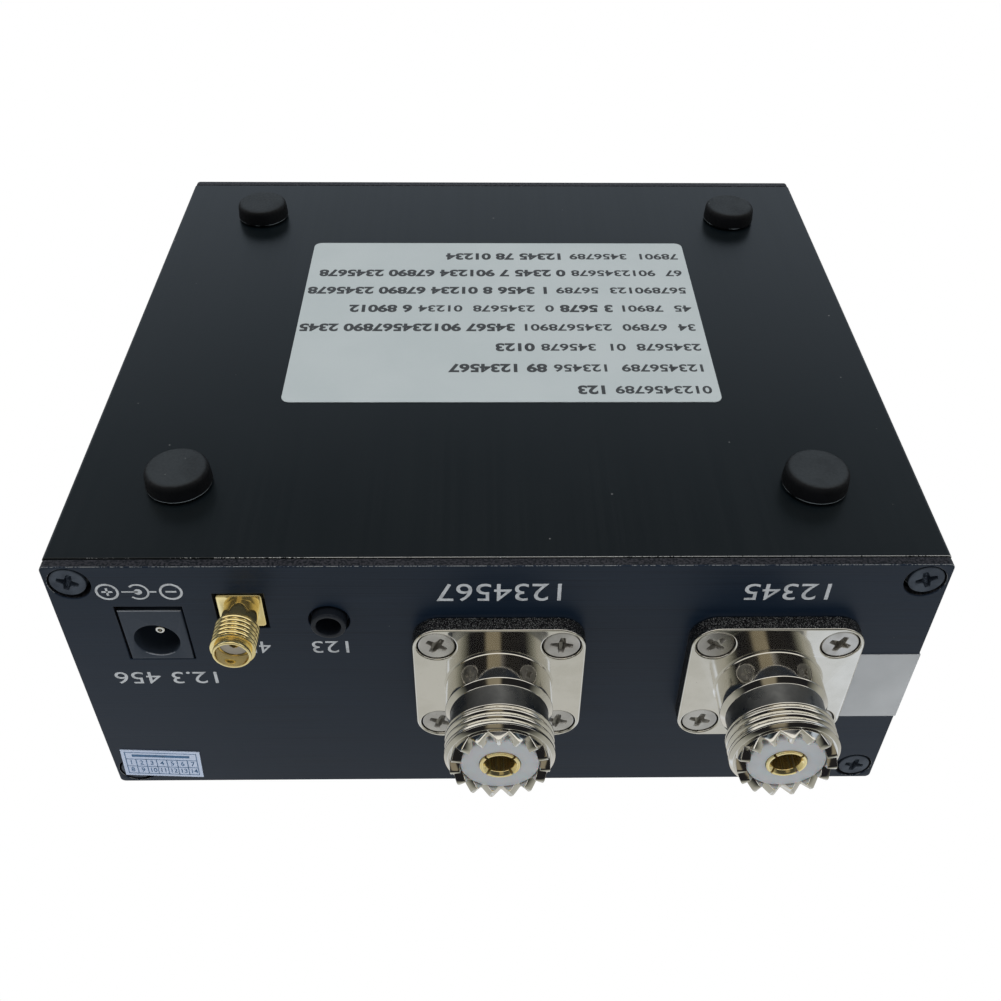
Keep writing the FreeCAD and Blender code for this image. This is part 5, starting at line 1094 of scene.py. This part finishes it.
# %% Flanges, insulators, contacts and their screws
FLANGE_CORNER = 4.0
FLANGE_EDGE = 0.22
FLANGE_BORE = 7.6
SCREW_SPACING = 17.9
FLANGE_HEAD = 2.7
FLANGE_SHANK = 1.45
FLANGE_HEAD_SETBACK = 0.22
INSULATOR_FACE = 16.28
INSULATOR_PLAY = 0.05
CONTACT_FACE = 16.53
CONTACT = 2.85
CONTACT_BORE = 2.0
CONTACT_BACK = -6.5
MOUTH_CHAMFER = 0.45
SLOT_WIDTH = 0.4
SLOT_ROOT = CONTACT_FACE - 9.0
CROWN_TURNS = {"antenna": 4.0, "radio": 2.0}
SCREW_TURNS = {"antenna": (32, 4, 21, 12), "radio": (40, 22, 15, 34)}


def slotted_tube_part(x, quarter, columns=22):
    """A quarter of the contact's slotted front. The profile is a closed loop of (radius, out), and
    its angle runs between two slots: each end stays back by asin(half slot / radius), so the
    slot's walls are parallel."""
    loop = [(CONTACT_BORE, SLOT_ROOT), (CONTACT, SLOT_ROOT), (CONTACT, CONTACT_FACE)]
    loop.append((CONTACT_BORE + MOUTH_CHAMFER, CONTACT_FACE))
    loop.append((CONTACT_BORE, CONTACT_FACE - MOUTH_CHAMFER))
    radius, out = eased(loop, [0, 0, 0.12, 0.08, 0.12]).T[:, :, None]
    back = np.arcsin(SLOT_WIDTH / 2 / radius)
    start = np.pi / 4 + np.pi / 2 * quarter
    a = start + back + np.linspace(0, 1, columns) * (np.pi / 2 - 2 * back)
    faces = grid_faces(len(radius), columns, wrap_rows=True, wrap_columns=False)
    rows = np.arange(len(radius)) * columns
    faces += [rows.tolist(), (rows + columns - 1)[::-1].tolist()]
    return round_points(x, REAR_FACE, SOCKET_Z, radius, out, a), faces


contact_rear = [(0, 1.4), (CONTACT_BORE, 1.4), (CONTACT_BORE, SLOT_ROOT), (CONTACT, SLOT_ROOT)]
contact_rear += [(CONTACT, CONTACT_BACK), (1.9, CONTACT_BACK)]
contact_rear += [(1.9, -11.5), (0.85, -11.5), (0.85, -8.0), (0, -8.0)]
inner, outer = CONTACT + INSULATOR_PLAY, BORE - INSULATOR_PLAY
ring_profile = [(inner, CONTACT_BACK), (outer, CONTACT_BACK)]
ring_profile += [(outer, INSULATOR_FACE), (inner, INSULATOR_FACE)]
ring_profile = eased(ring_profile, [0.05, 0.05, 0.3, 0.12])
flange_face = REAR_FACE + FLANGE_THICKNESS
offset = SCREW_SPACING / 2
for label, x in SOCKETS.items():
    shell = [f"{label}_socket_shell"]
    parts = [barrel_part(x, CROWN_TURNS[label])]
    barrel = add_piece(f"{label}_socket_barrel", parts, "nickel", shell)
    out = face_values(barrel, "center")[:, 1] / MM - REAR_FACE
    second_look(barrel, (out > COLLAR_END + 0.03) & (out < THREAD_START - 0.42), "nickel_neck")

    places = [(x + i * offset, SOCKET_Z + k * offset) for k in (-1, 1) for i in (-1, 1)]
    loops = [rounded_square(x, SOCKET_Z, FLANGE, FLANGE_CORNER, 12)]
    loops.append(ring(FLANGE_BORE, 64, x, SOCKET_Z))
    loops += [ring(FLANGE_HEAD + HEAD_CLEARANCE, 44, u, v) for u, v in places]
    plate = upright_plate(loops, REAR_FACE, flange_face, FLANGE_EDGE)
    flange = add_piece(f"{label}_socket_flange", [plate], "nickel", shell)
    centres = np.abs(face_values(flange, "center")[:, [0, 2]] / MM - (x, SOCKET_Z))
    near_hole = np.hypot(*(centres - offset).T) < FLANGE_HEAD + 0.3
    near_hole &= centres.max(axis=1) < FLANGE / 2 - 0.1
    is_side = np.abs(face_values(flange, "normal")[:, 1]) < 0.2
    second_look(flange, is_side & ~near_hole, "nickel_side")
    weigh_normals(flange)

    parts = [turned(ring_profile, 96, x, SOCKET_Z, REAR_FACE)]
    add_piece(f"{label}_socket_ring", parts, "ptfe", [f"{label}_socket_insulator"])
    parts = [slotted_tube_part(x, quarter) for quarter in range(4)]
    parts.append(turned(contact_rear, 48, x, SOCKET_Z, REAR_FACE))
    add_piece(f"{label}_socket_tube", parts, "gold", [f"{label}_socket_contact"])
    parts = [
        screw_part(u, flange_face - FLANGE_HEAD_SETBACK, v, FLANGE_HEAD, FLANGE_SHANK, turn)
        for (u, v), turn in zip(places, SCREW_TURNS[label])
    ]
    screws = [f"{label}_socket_screws"]
    add_piece(f"{label}_socket_screw_set", parts, "nickel_screw", screws)
print("barrel faces:", [count for name, count in made if name.endswith("barrel")])

# %% [markdown]
# ## Small gold receiver socket
# It is the same kind of turned part, only finer: neck, six turns of thread, an undercut and a
# nose with a wide mouth. Its square flange sits in the panel's cut-out, and four legs behind the
# flange grip the board's edge.

# %% Turn the receiver socket
SMALL_NECK = 2.5
SMALL_NECK_END = 2.85
SMALL_THREAD = 3.1
SMALL_THREAD_RISE = 0.45
SMALL_PITCH = 25.4 / 36
SMALL_DEPTH = 0.22
SMALL_TURNS = 5.96
SMALL_GROOVE = 2.5
SMALL_GROOVE_WIDTH = 0.4
SMALL_NOSE = 2.65
SMALL_NOSE_LENGTH = 0.577
SMALL_MOUTH = 2.3
SMALL_MOUTH_DEPTH = 1.93
SMALL_BORE = 2.1
SMALL_INSULATOR = 2.05
SMALL_PIN = 0.64
SMALL_PIN_BORE = 0.48
SMALL_FLANGE = 6.4
SMALL_FLANGE_THICKNESS = 1.65
LEG = 1.0
LEG_LENGTH = 4.2
LEG_DROP = 2.6

small_thread_end = SMALL_NECK_END + SMALL_TURNS * SMALL_PITCH
nose_back = small_thread_end + SMALL_GROOVE_WIDTH
small_front = nose_back + SMALL_NOSE_LENGTH
small_face = small_front - SMALL_MOUTH_DEPTH
flange_back = REAR_FACE - SMALL_FLANGE_THICKNESS

low = eased([(SMALL_BORE, -0.8), (SMALL_NECK, -0.8), (SMALL_NECK, SMALL_NECK_END)], 0.02)
cut = np.linspace(SMALL_NECK_END, small_thread_end, 84)
rise = ramp_up(cut, SMALL_NECK_END, SMALL_NECK_END + 0.3)
cut_radius = SMALL_THREAD - SMALL_THREAD_RISE * (1 - rise)
cut_share = ramp_up(cut, SMALL_NECK_END + 0.1, SMALL_NECK_END + 0.45)
cut_share *= 1 - ramp_up(cut, small_thread_end - 0.3, small_thread_end)
high = [(SMALL_GROOVE, small_thread_end + 0.06), (SMALL_GROOVE, nose_back), (SMALL_NOSE, nose_back)]
high += [(SMALL_NOSE, small_front), (SMALL_MOUTH, small_front)]
high += [(SMALL_MOUTH, small_face), (SMALL_BORE, small_face)]
high = eased(high, [0.03, 0.03, 0.1, 0.16, 0.06, 0.04, 0.01])
bands = low, np.column_stack([cut_radius, cut, cut_share]), high
at = (RECEIVER_X, RECEIVER_Z)
parts = [threaded_part(*at, full_turn(112), bands, SMALL_NECK_END, SMALL_DEPTH, SMALL_PITCH)]
loops = [rounded_square(*at, SMALL_FLANGE, 0.5), ring(SMALL_BORE, 48, *at)]
parts.append(upright_plate(loops, flange_back, REAR_FACE, 0.15))
leg_ends = (flange_back - LEG_LENGTH, flange_back + 0.2)
for x in (RECEIVER_X - SMALL_FLANGE / 2, RECEIVER_X + SMALL_FLANGE / 2 - LEG):
    for z in (BOARD_TOP, BOARD_TOP - LEG_DROP):
        parts.append(block_part(x, x + LEG, *leg_ends, z, z + LEG))
add_piece("receiver_socket_barrel", parts, "gold", ["receiver_socket_body"])
back = -SMALL_FLANGE_THICKNESS
profile = [(0.69, back), (SMALL_INSULATOR, back), (SMALL_INSULATOR, small_face), (0.69, small_face)]
parts = [turned(eased(profile, 0.05), 48, *at, REAR_FACE)]
add_piece("receiver_socket_ring", parts, "small_ptfe", ["receiver_socket_insulator"])
profile = [(0, -4.65), (SMALL_PIN, -4.65), (SMALL_PIN, small_face)]
profile += [(SMALL_PIN_BORE, small_face), (SMALL_PIN_BORE, small_face - 3.2), (0, small_face - 3.2)]
parts = [turned(profile, 32, *at, REAR_FACE)]
add_piece("receiver_socket_tube", parts, "gold", ["receiver_socket_contact"])
print("receiver socket reaches", round(small_front, 2), "mm out")

# %% [markdown]
# ## Keying jack and supply inlet
# Both are moulded in black. The jack shows a turned nose with a small round lip, and the inlet a
# flat face with a chamfer, a round mouth and a plated pin set back inside it.

# %% Mould the jack and the inlet
JACK_BORE = 1.8
JACK_NOSE = 2.5
JACK_NOSE_REACH = 1.25
JACK_HALF = 3.2
JACK_BACK_WALL = 1.2
jack_low, jack_high = node_box("keying_jack_body")
jack_back, jack_front = jack_low[1], SHELL_REAR - 0.25
jack_height = jack_high[2] - jack_low[2]

lip = [(JACK_BORE, -1.0), (JACK_BORE, JACK_NOSE_REACH), (JACK_NOSE, JACK_NOSE_REACH)]
lip = eased(lip + [(JACK_NOSE, -2.2), (JACK_BORE, -2.2)], [0.0, 0.16, 0.28, 0.0, 0.0], 6)
loops = [box_loop(JACK_X, jack_low[2] + jack_height / 2, 2 * JACK_HALF, jack_height)]
loops.append(ring(JACK_BORE, 48, JACK_X, JACK_Z))
wall, sides = jack_back + JACK_BACK_WALL, (JACK_X - JACK_HALF, JACK_X + JACK_HALF)
parts = [turned(lip, 72, JACK_X, JACK_Z, REAR_FACE), upright_plate(loops, wall, jack_front, 0.15)]
parts.append(block_part(*sides, jack_back, wall, jack_low[2], jack_high[2]))
add_piece("keying_jack_moulding", parts, "black_plastic", ["keying_jack_body"])

MOUTH = 3.25
INLET_DEPTH = 10.0
INLET_EDGE = 0.22
FACE_LIFT = 0.46
FACE_TRIM = 0.52
inlet_back = node_box("supply_inlet_body")[0][1]
half = INLET_SIZE[0] / 2
loops = [box_loop(inlet_x, inlet_middle + FACE_LIFT, INLET_SIZE[0], INLET_SIZE[1] - FACE_TRIM)]
loops.append(ring(MOUTH, 72, INLET_X, INLET_Z))
wall, sides = REAR_FACE - INLET_DEPTH, (INLET_X - half, INLET_X + half)
parts = [upright_plate(loops, wall, REAR_FACE, INLET_EDGE)]
parts.append(block_part(*sides, inlet_back, wall + 0.1, BOARD_TOP, BOARD_TOP + INLET_SIZE[1]))
replaced = ["supply_inlet_body"]
inlet = add_piece("supply_inlet_moulding", parts, "inlet_plastic", replaced)
weigh_normals(inlet)
lean_x, lean_y, lean_z = face_values(inlet, "normal").T
# Painted highlight: faces of the inlet's edge that lean out and towards -Z get the lighter plastic.
second_look(inlet, (lean_y > 0.12) & (lean_z < -0.3) & (np.abs(lean_x) < 0.45), "inlet_edge_highlight")

PIN = 1.05
PIN_TIP = -2.0
PIN_DIMPLE = 0.9
PIN_ROOT = -10.0
PIN_END = -14.2
BLADE = 0.4
TAIL_DROP = 2.8
pin_profile = [(0, PIN_TIP - PIN_DIMPLE), (0.32, PIN_TIP - PIN_DIMPLE), (0.32, PIN_TIP)]
pin_profile += [(PIN - 0.35, PIN_TIP), (PIN, PIN_TIP - 0.8), (PIN, PIN_ROOT)]
pin_profile += [(0.8, PIN_ROOT), (0.8, PIN_END), (0, PIN_END)]
pin_profile = eased(pin_profile, [0, 0.02, 0.06, 0.15, 0.2, 0.05, 0.05, 0.05, 0], 8)
blade_x, blade_y, tail_end = INLET_X + 3.65, REAR_FACE - 5.0, BOARD_TOP - TAIL_DROP
parts = [turned(pin_profile, 40, INLET_X, INLET_Z, REAR_FACE)]
blades = (
    (INLET_X - BLADE, INLET_X + BLADE, inlet_back - BLADE, inlet_back, tail_end, INLET_Z + 0.8),
    (blade_x, blade_x + BLADE, blade_y - 1.3, blade_y + 1.3, BOARD_TOP, INLET_Z + 1.3),
    (blade_x, blade_x + BLADE, blade_y - BLADE, blade_y + BLADE, tail_end, BOARD_TOP + 1.0),
)
parts += [block_part(*blade) for blade in blades]
add_piece("supply_inlet_pin", parts, "nickel", ["supply_inlet_contacts"])
print("inlet face is", INLET_SIZE, "mm")

# %% [markdown]
# ## Rubber feet
# A foot is turned about an upright line: a flat sole with a round edge, a tapered head, an undercut
# shoulder, a neck through the floor and a bulb that holds it.

# %% Turn the feet
SOLE = 4.65
FOOT = 4.85
FOOT_RIM = 2.85
SHOULDER = 3.6
NECK = 2.3
BULB = (2.9, 4.9)
BULB_TOP = 6.2
foot_profile = [(0, 0), (SOLE, 0), (FOOT, FOOT_RIM), (SHOULDER, FOOT_RIM), (SHOULDER, BOTTOM)]
foot_profile += [(NECK, BOTTOM), (NECK, BULB[1]), BULB, (NECK, BULB_TOP), (0, BULB_TOP)]
foot_ease = [0, 1.0, 0.12, 0.15, 0.1, 0.1, 0.1, 0.15, 0.3, 0]
radius, up = eased(foot_profile, foot_ease, 7).T[:, :, None]
for corner in ("rear_left", "rear_right", "front_left", "front_right"):
    x, y, _ = middle(f"foot_{corner}")
    points = round_points(x, 0, y, radius, up, full_turn(80))[..., [0, 2, 1]]
    parts = [(points, grid_faces(len(radius), 80))]
    add_piece(f"foot_{corner}_rubber", parts, "rubber", [f"foot_{corner}"], crease=50)
print("foot faces:", made[-1][1])

# %% [markdown]
# ## Front controls
# The button is a moulded cap with a shallow dish for the fingertip. The lamps are clear coloured
# domes that stand a little proud of the front panel.

# %% Cap and lamp domes
CAP = 3.5
CAP_RIM = 0.5
DISH_DEPTH = 0.22
CAP_LENGTH = 5.6
CAP_BORE = (1.55, -2.6)
dish = np.linspace(0, CAP - CAP_RIM, 10)
dish_rows = np.column_stack([dish, -DISH_DEPTH * (1 - (dish / (CAP - CAP_RIM)) ** 2)])
cap_rows = [(CAP - CAP_RIM, 0), (CAP, 0), (CAP, -CAP_LENGTH), (CAP_BORE[0], -CAP_LENGTH)]
cap_rows = eased(cap_rows + [CAP_BORE, (0, CAP_BORE[1])], [0, 0.4, 0.1, 0.1, 0.05, 0], 5)[5:]
cap_rows = np.concatenate([dish_rows, cap_rows])
parts = [turned(cap_rows, 80, BUTTON_X, BUTTON_Z, node_box("power_button_cap")[0][1], -1)]
look, replaced = "button_plastic", ["power_button_cap"]
add_piece("power_button_moulding", parts, look, replaced, body="power_button")

DOME = 1.5
LENS_RIM = (1.9, 0.9)
a = np.linspace(0, np.pi / 2, 12)
dome = np.column_stack([DOME * np.sin(a), -DOME * (1 - np.cos(a))])
for name, look in (("power_led", "green_lamp"), ("transmit_led", "red_lamp")):
    low, high = node_box(name)
    back = low[1] - high[1]
    rim = back + LENS_RIM[1]
    rest = [(DOME, rim), (LENS_RIM[0], rim), (LENS_RIM[0], back), (0, back)]
    parts = [turned(np.concatenate([dome, rest]), 48, *LAMPS_AT[name], low[1], -1)]
    add_piece(f"{name}_lens", parts, look, [name])
print("front controls made")

# %% [markdown]
# ## Printed marks
# Type is made with a text object, turned into a mesh, stretched to the space it has, and laid on
# its surface. The marks are plain numerals. Each has a hair of thickness, so that it stands on
# its surface without a gap.

# %% Lay numerals and lines on a surface
INK = 0.02
ARC_POINTS = 48


def type_mesh(words, thicken=0.0):
    """A text object's mesh as points and faces, half a unit thick each way."""
    curve = bpy.data.curves.new("type", "FONT")
    curve.body = words
    curve.extrude = 0.5
    curve.offset = thicken
    curve.resolution_u = 4
    return curve_parts(curve)


one_zero, two_zeros = type_mesh("0")[0], type_mesh("00")[0]
DIGIT_ADVANCE = np.ptp(two_zeros[:, 0]) - np.ptp(one_zero[:, 0])
DIGIT_TALL = np.ptp(one_zero[:, 1])


class Surface:
    """A flat face to print on: an origin, the reading direction, the up direction and the way out,
    which is reading direction x up."""

    def __init__(self, origin, reading, up):
        self.origin, self.reading, self.up = (np.array(v, float) for v in (origin, reading, up))
        self.out = np.cross(self.reading, self.up)

    def place(self, u, v, w):
        """Points at u along the reading direction, v up and w out."""
        points = self.origin + np.multiply.outer(u, self.reading) + np.multiply.outer(v, self.up)
        return points + np.multiply.outer(w, self.out)

    def boxes(self, rectangles):
        """Rectangles (u0, u1, v0, v1) as thin blocks of ink."""
        blocks = [block_part(*rectangle, 0, INK) for rectangle in rectangles]
        return [(self.place(*points.T), faces) for points, faces in blocks]

    def loop(self, u, v, outer, inner, start=0.0, stop=360.0):
        """A flat ring or part of one: radius runs over two values and the angle over the arc."""
        a = np.radians(np.linspace(start, stop, ARC_POINTS))[:, None]
        radius = np.array([outer, outer, inner, inner])
        level = np.array([0, INK, INK, 0]) + 0 * a
        points = self.place(u + radius * np.cos(a), v + radius * np.sin(a), level)
        faces = grid_faces(ARC_POINTS, 4)
        if stop - start < 360:
            last = 4 * ARC_POINTS
            faces += [[0, 1, 2, 3], [last - 1, last - 2, last - 3, last - 4]]
        return points, faces

    def text(self, words, u, v, width, height):
        """Numerals centred on (u, v), stretched to a width and height."""
        flat, faces = type_mesh(words)
        low, high = flat.min(axis=0), flat.max(axis=0)
        flat = (flat - (low + high) / 2) / (high - low)
        across, up = width * flat[:, 0], height * flat[:, 1]
        return self.place(u + across, v + up, INK * (flat[:, 2] + 0.5)), faces

    def row(self, words, u, v, pitch, height, thicken):
        """Numerals that start at (u, v) and take one pitch each, so that columns line up."""
        flat, faces = type_mesh(words, thicken)
        across, up = flat[:, 0] * pitch / DIGIT_ADVANCE, flat[:, 1] * height / DIGIT_TALL
        return self.place(u + across, v + up, INK * (flat[:, 2] + 0.5)), faces


rear = Surface((0, REAR_FACE, BOTTOM), (-1, 0, 0), (0, 0, 1))
MARKS = (
    ("1234567", (-8.8, 8.6), (3.5, 7.0)),
    ("12345", (34.2, 46.2), (3.7, 7.0)),
    ("123", (-27.2, -21.9), (15.5, 18.1)),
    ("456", (-38.6, -33.2), (15.5, 18.1)),
    ("12.3 456", (-57.35, -42.1), (22.4, 25.1)),
)
parts = [
    rear.text(words, -(x0 + x1) / 2, (h0 + h1) / 2, x1 - x0, h1 - h0)
    for words, (x0, x1), (h0, h1) in MARKS
]
numerals = add_piece("rear_numerals", parts, "white_ink")
numerals.visible_glossy = False

# %% Polarity sign over the inlet
SIGN_HEIGHT = 4.9
SIGN_ARM = 0.75
BAR_HALF, LINE_HALF = 0.16, 0.13
plus, centre_ring, minus = 54.25, 49.98, 45.45
parts = [rear.loop(u, SIGN_HEIGHT, 1.62, 1.28) for u in (plus, minus)]
parts.append(rear.loop(centre_ring, SIGN_HEIGHT, 1.55, 1.27, 45, 315))
parts.append(rear.loop(centre_ring, SIGN_HEIGHT, 0.55, 0.02))
sign_bars = [
    (plus - SIGN_ARM, plus + SIGN_ARM, BAR_HALF),
    (plus - BAR_HALF, plus + BAR_HALF, SIGN_ARM),
    (minus - SIGN_ARM, minus + SIGN_ARM, BAR_HALF),
    (centre_ring, plus - 2.0, LINE_HALF),
    (minus + 2.0, centre_ring - 1.5, LINE_HALF),
]
parts += rear.boxes((u0, u1, SIGN_HEIGHT - half, SIGN_HEIGHT + half) for u0, u1, half in sign_bars)
add_piece("polarity_sign", parts, "white_ink")
print("marks on the rear panel:", len(MARKS) + 1)

# %% [markdown]
# ## The label under the box
# A pale sticker with rows of bold print. The rows hold plain running digits in groups, so the
# label has the weight of a data plate without saying anything.

# %% Print the rows of the label
# Each row is a list of runs. A run in typewriter style is narrow and light, one in plain style is
# wide and bold, and each holds the lengths of its groups of digits. A style is a pitch, a gap, a
# height and a thickening of the strokes.
TYPED, PLAIN = (1.58, 1.85, 1.95, 0.024), (1.70, 1.00, 2.15, 0.040)
LABEL_ROWS = (
    ((TYPED, (10,)), (PLAIN, (3,))),
    ((TYPED, (9, 6)), (PLAIN, (2, 7))),
    ((TYPED, (7, 2, 6)), (PLAIN, (4,))),
    ((TYPED, (2, 5, 10)), (PLAIN, (5, 12, 4))),
    ((TYPED, (2, 5)), (PLAIN, (1, 4)), (TYPED, (1, 7, 5)), (PLAIN, (1, 5))),
    ((TYPED, (9, 5)), (PLAIN, (1, 4, 1, 5, 5, 7))),
    ((TYPED, (2, 10)), (PLAIN, (1, 4, 1, 6, 5, 7))),
    ((TYPED, (5, 7)), (PLAIN, (5, 2, 5))),
)
LABEL_CORNER = 1.4
LABEL_MARGIN = 1.25
FIRST_ROW = 3.15
ROW_STEP = 6.05
RUN_GAP = 1.1
label_low, label_high = node_box("spec_label")
thick, level = label_high[2] - label_low[2], (label_high[2] + label_low[2]) / 2
sheet = rounded_rectangle(label_low[0], label_high[0], label_low[1], label_high[1], LABEL_CORNER)
plate = plate_part([sheet], thick, 0.2 * thick, lambda u, v, w: (u, v, level - w))
weigh_normals(add_piece("spec_label_sheet", [plate], "spec_label", ["spec_label"]))
under = Surface((label_high[0] - LABEL_MARGIN, label_high[1], label_low[2]), (-1, 0, 0), (0, 1, 0))
parts = []
for row, runs in enumerate(LABEL_ROWS):
    start, digit = 0.0, row
    for (pitch, gap, tall, thicken), lengths in runs:
        for length in lengths:
            digits = "".join(str((digit + n) % 10) for n in range(length))
            line_low = -FIRST_ROW - ROW_STEP * row - tall / 2
            parts.append(under.row(digits, start, line_low, pitch, tall, thicken))
            start += pitch * length + gap
            digit += length + 1
        start += RUN_GAP - gap
add_piece("label_digits", parts, "label_ink")
print("label digit faces:", made[-1][1])

# %% [markdown]
# ## The date sticker
# A small calendar: a border, a bare header bar and two rows of numbered boxes, a little askew as
# hand-stuck labels are.

# %% Print the calendar
STICKER_TILT = math.radians(3.7)
HALF_U, HALF_V, LINE = 5.75, 2.95, 0.13
GRID_TOP, GRID_MIDDLE, COLUMNS = 1.15, -0.95, 7
HEADER_BAR = (-4.6, 4.6, 1.75, 2.35)
ROW_MIDDLES = (0.15, -1.85)
DATE_PITCH, DATE_TALL, DATE_THICKEN = 0.62, 1.15, 0.01
sticker_x, _, sticker_z = middle("date_label")
sticker_face = node_box("date_label")[1][1]
c, s = math.cos(STICKER_TILT), math.sin(STICKER_TILT)
sticker = Surface((sticker_x, sticker_face, sticker_z), (c, 0, s), (s, 0, -c))
step = 2 * HALF_U / COLUMNS
levels = (HALF_V - LINE, -HALF_V, GRID_TOP - LINE, GRID_MIDDLE)
uprights = -HALF_U + step * np.arange(1, COLUMNS)
lines = [(-HALF_U, HALF_U, v, v + LINE) for v in levels]
lines += [(u, u + LINE, -HALF_V, HALF_V) for u in (-HALF_U, HALF_U - LINE)]
lines += [(u - LINE / 2, u + LINE / 2, -HALF_V, GRID_TOP) for u in uprights]
parts = sticker.boxes([*lines, HEADER_BAR])
for row, v in enumerate(ROW_MIDDLES):
    for column in range(COLUMNS):
        digits = str(column + 1 + COLUMNS * row)
        start = -HALF_U + step * (column + 0.5) - DATE_PITCH / 2 * len(digits)
        parts.append(sticker.row(digits, start, v - 0.55, DATE_PITCH, DATE_TALL, DATE_THICKEN))
add_piece("sticker_print", parts, "sticker_ink")
print("calendar boxes:", 2 * COLUMNS)

# %% [markdown]
# ## Floor
# A pale floor carries the contact shadow in the upright views. The camera of the overturned view
# stands below it, so the floor's back is transparent, and no lamp or reflection notices it.

# %% Lay the floor
reach = 1.2
floor_mesh = bpy.data.meshes.new("pale_floor")
floor_corners = [(i * reach, k * reach, 0) for i, k in ((-1, -1), (1, -1), (1, 1), (-1, 1))]
floor_mesh.from_pydata(floor_corners, [], [(0, 1, 2, 3)])
floor = bpy.data.objects.new("pale_floor", floor_mesh)
bpy.context.collection.objects.link(floor)
floor_look = bpy.data.materials.new("floor_paint")
floor_look.use_nodes = True
tree = floor_look.node_tree
paint = tree.nodes["Principled BSDF"]
paint.inputs["Base Color"].default_value = (0.86, 0.86, 0.86, 1.0)
paint.inputs["Roughness"].default_value = 0.9
behind = wire(tree, "ShaderNodeNewGeometry").outputs["Backfacing"]
clear = wire(tree, "ShaderNodeBsdfTransparent").outputs[0]
either = wire(tree, "ShaderNodeMixShader", [("Fac", behind), (1, paint.outputs[0]), (2, clear)])
tree.links.new(either.outputs[0], tree.nodes["Material Output"].inputs["Surface"])
floor_mesh.materials.append(floor_look)
for ray in ("diffuse", "glossy", "transmission", "shadow"):
    setattr(floor, f"visible_{ray}", False)
print("floor reaches", reach, "m each way")

# %% [markdown]
# ## Count of new pieces
# The last print gives the number of new pieces and their faces.

# %% Count the new pieces
print("new pieces:", len(made), "faces:", sum(count for name, count in made))
